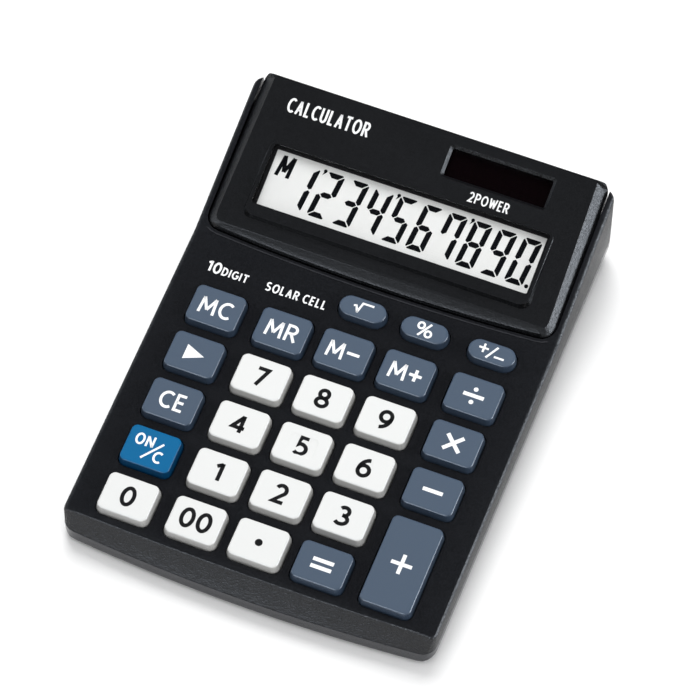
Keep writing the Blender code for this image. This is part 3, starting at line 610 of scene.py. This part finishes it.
def ribbon(line, width, closed=False, thick=FILM):
    """A strip along a line (n, 2): each point plus and minus half the width along the mitre,
    (n1 + n2) / (1 + n1 . n2) of the normals on either side, held to 2.2 half widths at sharp turns."""
    n = len(line)
    step = np.roll(line, -1, axis=0) - line
    if not closed:
        step[-1] = step[-2]
    normal = np.column_stack([-step[:, 1], step[:, 0]]) / np.linalg.norm(step, axis=1)[:, None]
    before = np.roll(normal, 1, axis=0)
    if not closed:
        before[0], normal[-1] = normal[0], before[-1]
    mitre = (before + normal) / np.maximum(1 + (before * normal).sum(axis=1), 0.2)[:, None]
    mitre /= np.maximum(np.linalg.norm(mitre, axis=1) / 2.2, 1.0)[:, None]
    left, right_side = line + mitre * width / 2, line - mitre * width / 2
    verts = np.concatenate([level(e, z) for z in (-SINK, thick - SINK) for e in (left, right_side)])
    i = np.arange(n if closed else n - 1)
    j = (i + 1) % n
    faces = np.concatenate([np.stack(q, axis=-1) for q in (
        (i, j, n + j, n + i), (3 * n + i, 3 * n + j, 2 * n + j, 2 * n + i),
        (j, i, 2 * n + i, 2 * n + j), (n + i, n + j, 3 * n + j, 3 * n + i))]).tolist()
    if not closed:
        faces += [[0, n, 3 * n, 2 * n], [2 * n - 1, n - 1, 3 * n - 1, 4 * n - 1]]
    return verts, faces


def arc(x, y, rx, ry, start, end, n=22):
    """Points on an ellipse from one angle to another, in degrees: centre plus (rx cos a, ry sin a)."""
    a = np.radians(np.linspace(start, end, n))
    return np.stack([x + rx * np.cos(a), y + ry * np.sin(a)], axis=-1)


def oval(x, y, rx, ry, n=44):
    return arc(x, y, rx, ry, 0, 360 * (1 - 1 / n), n)


def line(*points):
    return np.array(points, float)


def joined(*lines):
    return np.concatenate(lines)


def dot(x, y, radius, n=32):
    return arc(x, y, radius, radius, 0, 360 * (1 - 1 / n), n)


def shifted(shape, x, y):
    return shape[0] + [x, y, 0.0], shape[1]


# %% The pen lines of the figures, in a box one unit high
# "loop" closes on itself, "line" runs on, and "cuts" is drawn as one strip per straight part, for sharp turns
SIX = [("loop", oval(0.31, 0.31, 0.31, 0.31)), ("line", arc(0.60, 0.33, 0.60, 0.67, 98, 180))]
FIGURES = {
    "0": (0.62, [("loop", oval(0.31, 0.5, 0.31, 0.5))]),
    "1": (0.32, [("cuts", line((0, 0.82), (0.30, 1.0))), ("cuts", line((0.30, 1.06), (0.30, 0)))]),
    "2": (0.61, [("line", joined(arc(0.29, 0.71, 0.28, 0.29, 158, -32), line((0.02, 0), (0.61, 0))))]),
    "3": (0.60, [("line", arc(0.27, 0.755, 0.26, 0.245, 148, -88)),
                 ("line", arc(0.24, 0.265, 0.35, 0.265, 92, -142))]),
    "4": (0.68, [("cuts", line((0.47, 0), (0.47, 1.04))),
                 ("line", line((0.45, 0.98), (0, 0.29), (0.68, 0.29)))]),
    "5": (0.58, [("line", joined(line((0.54, 1.0), (0.13, 1.0), (0.09, 0.56)),
                                 arc(0.24, 0.305, 0.34, 0.305, 112, -138)))]),
    "6": (0.62, SIX),
    "7": (0.60, [("line", line((0, 1.0), (0.60, 1.0), (0.17, -0.04)))]),
    "8": (0.62, [("loop", oval(0.31, 0.755, 0.25, 0.245)), ("loop", oval(0.31, 0.255, 0.31, 0.255))]),
    "9": (0.62, [(end, [0.62, 1.0] - shape) for end, shape in SIX]),
    "%": (1.00, [("loop", oval(0.20, 0.76, 0.20, 0.24)), ("loop", oval(0.80, 0.24, 0.20, 0.24)),
                 ("cuts", line((0.18, -0.05), (0.82, 1.05)))]),
    "A": (0.66, [("cuts", line((0, -0.06), (0.33, 1.0), (0.66, -0.06))),
                 ("cuts", line((0.12, 0.30), (0.54, 0.30)))]),
    "C": (0.64, [("line", arc(0.42, 0.5, 0.42, 0.5, 52, 308))]),
    "D": (0.60, [("line", joined(line((0.2, 0), (0, 0), (0, 1.0)), arc(0.20, 0.5, 0.40, 0.5, 90, -90)))]),
    "E": (0.48, [("line", line((0.48, 1.0), (0, 1.0), (0, 0), (0.48, 0))),
                 ("cuts", line((0, 0.52), (0.44, 0.52)))]),
    "G": (0.68, [("line", joined(arc(0.38, 0.5, 0.38, 0.5, 52, 345), line((0.72, 0.46), (0.44, 0.46))))]),
    "I": (0.00, [("cuts", line((0, -0.06), (0, 1.06)))]),
    "L": (0.46, [("line", line((0, 1.06), (0, 0), (0.46, 0)))]),
    "M": (0.90, [("cuts", line((0, -0.08), (0.07, 1.0), (0.45, 0.18), (0.83, 1.0), (0.90, -0.08)))]),
    "N": (0.66, [("cuts", line((0, -0.06), (0, 1.0), (0.66, 0), (0.66, 1.06)))]),
    "O": (0.80, [("loop", oval(0.40, 0.5, 0.40, 0.5))]),
    "P": (0.58, [("line", joined(line((0, -0.06), (0, 1.0)), arc(0.28, 0.73, 0.30, 0.27, 90, -90),
                                 line((0.02, 0.46))))]),
    "R": (0.60, [("line", joined(line((0, -0.06), (0, 1.0)), arc(0.28, 0.74, 0.28, 0.26, 90, -90),
                                 line((0.02, 0.48)))),
                 ("cuts", line((0.27, 0.48), (0.61, -0.05)))]),
    "S": (0.58, [("line", joined(arc(0.30, 0.755, 0.27, 0.245, 38, 262),
                                 arc(0.28, 0.255, 0.30, 0.255, 82, -145)))]),
    "T": (0.60, [("cuts", line((-0.04, 1.0), (0.64, 1.0))), ("cuts", line((0.30, 1.0), (0.30, -0.06)))]),
    "U": (0.60, [("line", joined(line((0, 1.06)), arc(0.30, 0.30, 0.30, 0.30, 180, 360),
                                 line((0.60, 1.06))))]),
    "W": (0.96, [("cuts", line((0, 1.06), (0.24, 0), (0.48, 0.96), (0.72, 0), (0.96, 1.06)))]),
}


def figure(letter, height, stroke, wide=1.0):
    """One figure's strips; its outer box is `height` tall and starts at x = 0. Returns shapes and width."""
    width, strokes = FIGURES[letter]
    inner = height - stroke
    scale = np.array([inner * wide, inner])
    shapes = []
    for kind, shape in strokes:
        path = shape * scale + stroke / 2
        if kind == "cuts":
            shapes += [ribbon(path[k:k + 2], stroke) for k in range(len(path) - 1)]
        else:
            shapes.append(ribbon(path, stroke, kind == "loop"))
    return shapes, width * inner * wide + stroke


def word(text, height, stroke, wide=1.0, gap=0.9):
    """Figures side by side, `gap` strokes apart, centred on the origin."""
    made, x = [], 0.0
    for letter in text:
        if letter == " ":
            x += height * 0.28
            continue
        shapes, width = figure(letter, height, stroke, wide)
        made += [shifted(shape, x, -height / 2) for shape in shapes]
        x += width + gap * stroke
    return [shifted(shape, -(x - gap * stroke) / 2, 0.0) for shape in made]


# %% Films from shapes
def film(name, shapes, matrix, finish, body, slot, lift=None):
    """Join flat shapes into one piece, lifted by a function of place if given, and carry it to its plane."""
    verts, faces, first = [], [], 0
    for v, f in shapes:
        verts.append(v)
        faces += [[i + first for i in face] for face in f]
        first += len(v)
    points = np.concatenate(verts)
    if lift is not None:
        points[:, 2] += lift(points)
    return dress(finish_mesh(name, placed(points, matrix), faces, 20.0), finish, body, slot)


# %% Draw every legend
DIGIT_H, WORD_H = 5.8 * MM, 5.1 * MM
PEN, FINE_PEN = 1.05 * MM, 0.56 * MM


def stroke(width, *points):
    """A straight or bent pen line through points given in millimetres."""
    return ribbon(line(*points) * MM, width)


signs = {
    "key_plus": [stroke(1.0 * MM, (-2.8, 0), (2.8, 0)), stroke(1.0 * MM, (0, 0.5), (0, 2.8)),
                 stroke(1.0 * MM, (0, -2.8), (0, -0.5))],
    "key_minus": [stroke(PEN, (-2.7, 0), (2.7, 0))],
    "key_equals": [stroke(PEN, (-2.8, y), (2.8, y)) for y in (-1.0, 1.0)],
    "key_multiply": [stroke(PEN, (-2.2, -2.2), (2.2, 2.2)), stroke(PEN, (-2.2, 2.2), (-0.29, 0.29)),
                     stroke(PEN, (0.29, -0.29), (2.2, -2.2))],
    "key_divide": [stroke(PEN, (-2.8, 0), (2.8, 0)), slab(dot(0, 1.9 * MM, 0.62 * MM)),
                   slab(dot(0, -1.9 * MM, 0.62 * MM))],
    "key_point": [slab(dot(0, 0, 1.0 * MM))],
    "key_backspace": [slab(line((-2.6, -2.2), (2.7, 0), (-2.6, 2.2)) * MM)],
    "key_root": [stroke(FINE_PEN, (-2.6, 0.2), (-1.95, 0.45)), stroke(FINE_PEN, (-2.0, 0.6), (-1.1, -1.5)),
                 stroke(FINE_PEN, (-1.2, -1.55), (-0.45, 1.5), (2.6, 1.5))],
    "key_percent": word("%", 4.3 * MM, 0.58 * MM, 1.10),
    "key_sign": [stroke(FINE_PEN, (-3.7, 0.6), (-1.1, 0.6)), stroke(FINE_PEN, (-2.4, 0.88), (-2.4, 1.9)),
                 stroke(FINE_PEN, (-2.4, -0.7), (-2.4, 0.32)), stroke(FINE_PEN, (-1.1, -1.9), (1.1, 1.9)),
                 stroke(FINE_PEN, (0.9, -1.0), (3.6, -1.0))],
    "key_on_clear": [shifted(shape, -2.2 * MM, 1.75 * MM) for shape in
                     word("ON", 3.4 * MM, 0.58 * MM, 0.88, 0.7)]
    + [stroke(FINE_PEN, (-1.5, -3.3), (2.9, 2.2))]
    + [shifted(shape, 2.6 * MM, -1.8 * MM) for shape in word("C", 3.4 * MM, 0.60 * MM)],
    "key_memory_clear": word("MC", WORD_H, 0.76 * MM),
    "key_memory_recall": word("MR", WORD_H, 0.76 * MM),
    "key_clear_entry": word("CE", WORD_H, 0.76 * MM),
}
for name in ("key_memory_minus", "key_memory_plus"):
    signs[name] = [shifted(shape, -2.2 * MM, 0) for shape in word("M", WORD_H, 0.76 * MM)]
    signs[name].append(stroke(0.84 * MM, (0.9, 0), (4.3, 0)))
signs["key_memory_plus"] += [stroke(0.84 * MM, (2.6, a), (2.6, b)) for a, b in ((0.36, 1.7), (-1.7, -0.36))]
for name in key_frames:
    if name[4:].isdigit():
        signs[name] = word(name[4:], DIGIT_H, PEN, gap=0.55)


def follow_dish(points):
    """Height of the dish under a point: - deep (1 - (r / R) ^ 2)."""
    return -DISH_DEEP * (1 - (points[:, 0] ** 2 + points[:, 1] ** 2) / DISH_R ** 2)


for name, shapes in signs.items():
    film(name.replace("key_", "legend_", 1), shapes, key_frames[name][0], KINDS[kind_of(name)][1], name,
         "key_" + kind_of(name), follow_dish if name == "key_5" else None)
print(len(signs), "legends")

# %% [markdown]
# ## The display
#
# Each digit is seven bars with mitred ends, so that neighbours meet along a slanting hairline, and the tips
# at the outer corners are cut off. The outlines are written once for an upright digit; a shear leans them
# all forward. Beside them stand the memory mark, the thousands marks and the decimal point. A printed border
# under the lens hides the edge of the glass.

# %% Light the segments
DIGIT_W, DIGIT_TALL, BAR, HAIR, NIP, LEAN_X = 5.15 * MM, 13.1 * MM, 1.48 * MM, 0.20 * MM, 0.55 * MM, 0.10
PITCH = 6.95 * MM


def seven_bars():
    """Outlines of bars a to g in a box DIGIT_W by DIGIT_TALL: mitres at 45 degrees, HAIR apart, whose
    outer tips are cut off across the corner, NIP along each side."""
    w, h, t, g, c = DIGIT_W, DIGIT_TALL, BAR, HAIR, NIP
    m = h / 2
    flip_x, flip_y = np.array([-1, 1]), np.array([1, -1])
    top = np.array([[c + g, h], [c * 0.5 + g, h - c * 0.5], [t + g, h - t], [w - t - g, h - t],
                    [w - c * 0.5 - g, h - c * 0.5], [w - c - g, h]])
    left = np.array([[c * 0.5, h - c * 0.5 - g], [0, h - c - g], [0, m + c * 0.8 + g / 2],
                     [t / 2 - g / 2, m + g / 2], [t, m + t / 2 + g / 2], [t, h - t - g]])
    middle = np.array([[t / 2 + g, m], [t + g, m - t / 2], [w - t - g, m - t / 2], [w - t / 2 - g, m],
                       [w - t - g, m + t / 2], [t + g, m + t / 2]])
    over = lambda shape: (shape * flip_y + [0, h])[::-1]
    across = lambda shape: (shape * flip_x + [w, 0])[::-1]
    return {"a": top, "f": left, "g": middle, "b": across(left), "e": over(left), "c": across(over(left)),
            "d": over(top)}


LIT = {"1": "bc", "2": "abged", "3": "abgcd", "4": "fgbc", "5": "afgcd", "6": "afgedc", "7": "fabc",
       "8": "abcdefg", "9": "abcdfg", "0": "abcdef"}
bars = seven_bars()
LCD_SEEN_W, LCD_SEEN_D = 76.1 * MM, 16.15 * MM
SEGMENT_T, MARK_T = 0.04 * MM, 0.035 * MM
low_edge = -LCD_SEEN_D / 2 + 1.7 * MM
first_x = -31.6 * MM
shapes = []
for place, digit in enumerate("1234567890"):
    shift = np.array([first_x + place * PITCH, low_edge])
    for letter in LIT[digit]:
        outline = bars[letter].copy()
        outline[:, 0] += outline[:, 1] * LEAN_X
        shapes.append(slab(outline + shift, SEGMENT_T))
    if place in (0, 3, 6):
        x = first_x + place * PITCH + DIGIT_W + 1.3 * MM + DIGIT_TALL * LEAN_X * 0.97
        y = low_edge + DIGIT_TALL - 0.2 * MM
        shapes.append(slab(dot(x, y, 0.50 * MM), SEGMENT_T))
        shapes.append(slab(np.array([[x - 0.30 * MM, y - 0.35 * MM], [x - 0.55 * MM, y - 1.35 * MM],
                                     [x + 0.46 * MM, y - 0.2 * MM]]), MARK_T))
point_x = first_x + 9 * PITCH + DIGIT_W + 1.1 * MM
shapes.append(slab(dot(point_x, low_edge + 0.5 * MM, 0.55 * MM), SEGMENT_T))
for verts, faces in word("M", 6.5 * MM, 1.05 * MM, 0.64):
    verts[:, 0] += verts[:, 1] * LEAN_X
    shapes.append(shifted((verts, faces), -34.3 * MM, 4.4 * MM))
film("display_segments", shapes, lcd_frame, segment_black, "case", "lcd_panel")


# %% Print the border under the lens
def flat_ring(outer, inner, thick):
    """A plate with a window: outer and inner outlines at two heights, joined by quads all round."""
    n = len(outer)
    verts = np.concatenate([level(outer, 0.0), level(inner, 0.0), level(outer, thick), level(inner, thick)])
    i = np.arange(n)
    j = (i + 1) % n
    faces = [np.stack(q, axis=-1) for q in (
        (j, i, n + i, n + j), (2 * n + i, 2 * n + j, 3 * n + j, 3 * n + i),
        (i, j, 2 * n + j, 2 * n + i), (n + j, n + i, 3 * n + i, 3 * n + j))]
    return verts, np.concatenate(faces).tolist()


BORDER_T = 0.06 * MM
lens_size = np.ptp(lens_local, axis=0)
border = flat_ring(rounded_rectangle(lens_size[0] - 0.4 * MM, lens_size[1] - 0.4 * MM, 0.8 * MM),
                   rounded_rectangle(LCD_SEEN_W, LCD_SEEN_D, 0.25 * MM), BORDER_T)
film("display_border", [border], lens_frame @ Matrix.Translation((0, 0, -lens_size[2] - BORDER_T)),
     border_black, "case", "lcd_panel")

# %% [markdown]
# ## The bead before the display housing
#
# A thin bead is moulded into the deck just in front of the housing, and turns round its corners. The edge of
# the housing is read from the model: its outline seen from above, moved outwards along its own normals. It
# ends short of the case's sides.

# %% Run the bead round the front of the housing
BEAD_W, BEAD_T, BEAD_OFF = 0.40 * MM, 0.20 * MM, 1.25 * MM
FRONT_REACH, BEAD_HALF = 9.0 * MM, 48.2 * MM


def seen_outline(node, reach):
    """Front of a node's outline seen from above, as far back as `reach`: its lower hull. With u the last
    step and v the way to the next point, a point stays while u.x v.y - u.y v.x is above zero."""
    points = corners_of(node)[:, :2]
    points = np.unique(np.round(points[points[:, 1] < points[:, 1].min() + reach], 6), axis=0)
    chain = []
    for p in points:
        while len(chain) > 1:
            u, v = chain[-1] - chain[-2], p - chain[-2]
            if u[0] * v[1] - u[1] * v[0] > 0:
                break
            chain.pop()
        chain.append(p)
    return np.array(chain)


front = seen_outline("display_housing", FRONT_REACH)
step = np.gradient(front, axis=0)
outward = np.column_stack([step[:, 1], -step[:, 0]]) / np.linalg.norm(step, axis=1)[:, None]
run = front + outward * BEAD_OFF
run = run[np.abs(run[:, 0]) < BEAD_HALF]
rise = deck_frame.to_3x3().col[1]
bead = np.column_stack([run[:, 0] - deck_frame.translation.x,
                        (run[:, 1] - deck_frame.translation.y) / rise.y])
# Its tones are set lighter than the deck's, a painted highlight along the bead
bead_painted_highlight = moulded("bead_painted_highlight", 0.010, 0.030, 0.36)
film("deck_bead", [ribbon(bead, BEAD_W, thick=BEAD_T)], deck_frame, bead_painted_highlight, "case", "upper_case")
print("bead of", len(bead), "points, in mm from", np.round(run[0] / MM, 1), "to", np.round(run[-1] / MM, 1))

# %% [markdown]
# ## Words on the case
#
# A few short words are printed on the case. They say only what any calculator of this kind could say, and
# stand where a maker would print a name: behind the display, under the solar panel and above the keys.

# %% Print on the case
def moved(shapes, x, y):
    return [shifted(shape, x, y) for shape in shapes]


film("print_digits", moved(word("10", 3.5 * MM, 0.60 * MM, 0.92, 0.7), -14.3 * MM, 0.25 * MM)
     + moved(word("DIGIT", 2.5 * MM, 0.44 * MM, 0.95, 0.85), -8.2 * MM, -0.1 * MM)
     + moved(word("SOLAR CELL", 2.7 * MM, 0.44 * MM, 0.80, 0.85), 9.0 * MM, 0.0),
     on_plane(deck_frame, -27.2 * MM, 14.3 * MM), print_white, "case", "upper_case")
film("print_name", word("CALCULATOR", 4.2 * MM, 0.62 * MM, 0.62, 0.62),
     on_plane(housing_frame, -27.9 * MM, 61.7 * MM), print_white, "case", "display_housing")
film("print_power", word("2POWER", 2.9 * MM, 0.42 * MM, 0.72, 0.75),
     on_plane(housing_frame, 20.5 * MM, 53.6 * MM), print_white, "case", "display_housing")

# %% [markdown]
# ## Screws and feet
#
# On the underside are pan-head screws with a cross recess, and round rubber feet. A cross is star shaped
# about its centre, so its outline is a radius for each angle: along an arm it is a / sin, at the arm's end
# L / cos. With that, the recess is two more outlines in the stack of the head.


# %% Turn the screws and the feet
def turned(profile, n=64):
    """Rings of radius r at height z for each (r, z) of a profile, all with n points."""
    a = np.arange(n) * 2 * np.pi / n
    circle = np.stack([np.cos(a), np.sin(a)], axis=-1)
    return np.stack([level(circle * r, z) for r, z in profile])


def cross(long, wide, n=64):
    """Outline of a cross: with b the angle folded into one eighth, r = min(long / cos b, wide / sin b)."""
    a = np.arange(n) * 2 * np.pi / n
    b = np.abs((a + np.pi / 4) % (np.pi / 2) - np.pi / 4)
    r = np.minimum(long / np.cos(b), wide / np.maximum(np.sin(b), 1e-6))
    return np.stack([r * np.cos(a), r * np.sin(a)], axis=-1)


def lower_end(node):
    """Frame at the lower end of a round node: local z points down, out of the underside."""
    low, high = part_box(node)
    middle = (low + high) / 2
    return Matrix.Translation((middle.x, middle.y, low.z)) @ Matrix.Rotation(math.pi, 4, "X")


def screw(node, tilt):
    """A pan head: shank, flat underside, rounded rim, low dome, and a tapering cross recess."""
    low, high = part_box(node)
    long = (high.z - low.z) - 0.02 * MM
    head, shank = 1.6 * MM, 0.8 * MM
    rim = [(head * (1 - 0.16 * (1 - math.cos(t))), -0.30 * MM + 0.26 * MM * math.sin(t)) for t in
           np.linspace(0, math.pi / 2, 5)]
    stem = [(shank * 0.7, -long), (shank, -long + 0.4 * MM), (shank, -0.62 * MM), (head, -0.60 * MM)]
    body = turned(stem + rim + [(1.1 * MM, -0.01 * MM)])
    cuts = ((0.92, 0.19, 0.0), (0.86, 0.16, -0.10), (0.50, 0.10, -0.36))
    recess = np.stack([level(cross(arm * MM, wide * MM), z * MM) for arm, wide, z in cuts])
    verts, faces = skin(np.concatenate([body, recess]))
    place = lower_end(node) @ Matrix.Rotation(tilt, 4, "Z")
    piece = finish_mesh(node + "_turned", placed(verts, place), faces, 30.0)
    return dress(piece, screw_steel, "case", "screw", node)


bottom_screws = [n for n in nodes if n.startswith("case_screw_")] + ["battery_door_screw"]
for turn, node in enumerate(bottom_screws):
    screw(node, 0.7 * turn)
for turn, node in enumerate(n for n in nodes if n.startswith("board_screw_")):
    nodes[node].data.materials.clear()
    nodes[node].data.materials.append(screw_steel.material)

FOOT_ROUND = 0.35 * MM
for node in [n for n in nodes if n.startswith("foot_")]:
    low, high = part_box(node)
    tall, r = high.z - low.z, (high.x - low.x) / 2
    edge = [(r - FOOT_ROUND * (1 - math.cos(t)), -FOOT_ROUND * (1 - math.sin(t))) for t in
            np.linspace(0, math.pi / 2, 6)]
    groove = [(r - inset * MM, z * MM) for inset, z in ((1.0, 0.0), (1.15, -0.12), (1.5, -0.12), (1.65, 0.0))]
    pad = turned([(r, -tall)] + edge + groove + [(0.6 * MM, 0.0)], 72)
    verts, faces = skin(pad)
    piece = finish_mesh(node + "_pad", placed(verts, lower_end(node)), faces, 40.0)
    dress(piece, foot_rubber, "case", "foot", node)
print(len(bottom_screws), "screws turned")

# %% [markdown]
# ## Pieces kept from the model
#
# The plates, the cell and the parts on the board are right as they are, and only change their finish.

# %% Finish the kept pieces
KEPT = {"display_lens": clear_lens, "lcd_panel": lcd_face, "lcd_strip": strip_rubber, "solar_window": smoked,
        "solar_cell": solar_film, "circuit_board": board_mask, "key_mat": grey_silicone, "chip_blob": epoxy,
        "capacitor": sleeve, "button_cell": cell_steel, "battery_contact_top": nickel,
        "battery_contact_side": nickel}
for node, finish in KEPT.items():
    nodes[node].data.materials.clear()
    nodes[node].data.materials.append(finish.material)
print(len(KEPT), "nodes keep their shape")

# %% [markdown]
# ## The studio
#
# The calculator stands on a pale floor that runs out of sight. Black plastic shows its lamps more than its
# colour, so the lamps that light it are kept out of its gloss, as flagged lamps would be: a broad one behind
# its left side throws the soft shadow, one stands above and a weak one on the right. Cards to the front,
# right and left do the opposite: they light only the gloss, which shows the edges.


# %% Floor and lamps
COOL = (0.84, 0.91, 1.0)


def lamp(name, place, size, power, gloss=True, body=True, colour=(1.0, 1.0, 1.0)):
    """A round soft lamp that faces the calculator; `gloss` and `body` say which light it gives."""
    light = bpy.data.lights.new(name, "AREA")
    light.shape, light.size, light.energy, light.color = "DISK", size, power, colour
    holder = bpy.data.objects.new(name, light)
    facing = Vector(place).to_track_quat("Z", "Y").to_matrix().to_4x4()
    holder.matrix_world = Matrix.Translation(place) @ facing
    holder.visible_glossy, holder.visible_diffuse = gloss, body
    bpy.context.scene.collection.objects.link(holder)


SPAN = 3.0
corners = np.array([[-1, -1, 0], [1, -1, 0], [1, 1, 0], [-1, 1, 0.0]]) * SPAN
floor = finish_mesh("studio_floor", corners, [[0, 1, 2, 3]])
paper = Finish("pale_paper")
fibre = paper.noise(0.6 * MM, detail=3.0)
paper.set(Base_Color=paper.mix(fibre, grey(0.86), grey(0.88)), Roughness=0.9 + fibre * 0.05)
floor.data.materials.append(paper.material)

# Each line gives the place and width in metres, then the power in watts
lamp("lamp_rear_left", (-0.30, 0.75, 1.25), 1.0, 19.0, gloss=False)
lamp("lamp_above", (0.10, -0.35, 1.6), 1.4, 8.5, gloss=False)
lamp("card_front", (-0.30, -1.15, 0.80), 0.9, 24.0, body=False, colour=COOL)
lamp("card_right", (1.40, 0.25, 0.36), 0.8, 40.0, body=False, colour=COOL)
lamp("fill_right", (1.30, -0.40, 0.70), 0.8, 7.0, gloss=False)
lamp("card_left", (-1.40, -0.10, 0.60), 0.8, 8.0, body=False, colour=COOL)
sky = bpy.data.worlds.new("studio_sky")
sky.use_nodes = True
backdrop = sky.node_tree.nodes["Background"].inputs
backdrop["Color"].default_value, backdrop["Strength"].default_value = grey(1.0), 0.42
bpy.context.scene.world = sky
sky.cycles_visibility.glossy = False
bpy.context.scene.view_settings.view_transform = "Standard"

# %% [markdown]
# ## The size
#
# The dressed calculator has to stay in the box of the model.

# %% Update the view layer
bpy.context.view_layer.update()
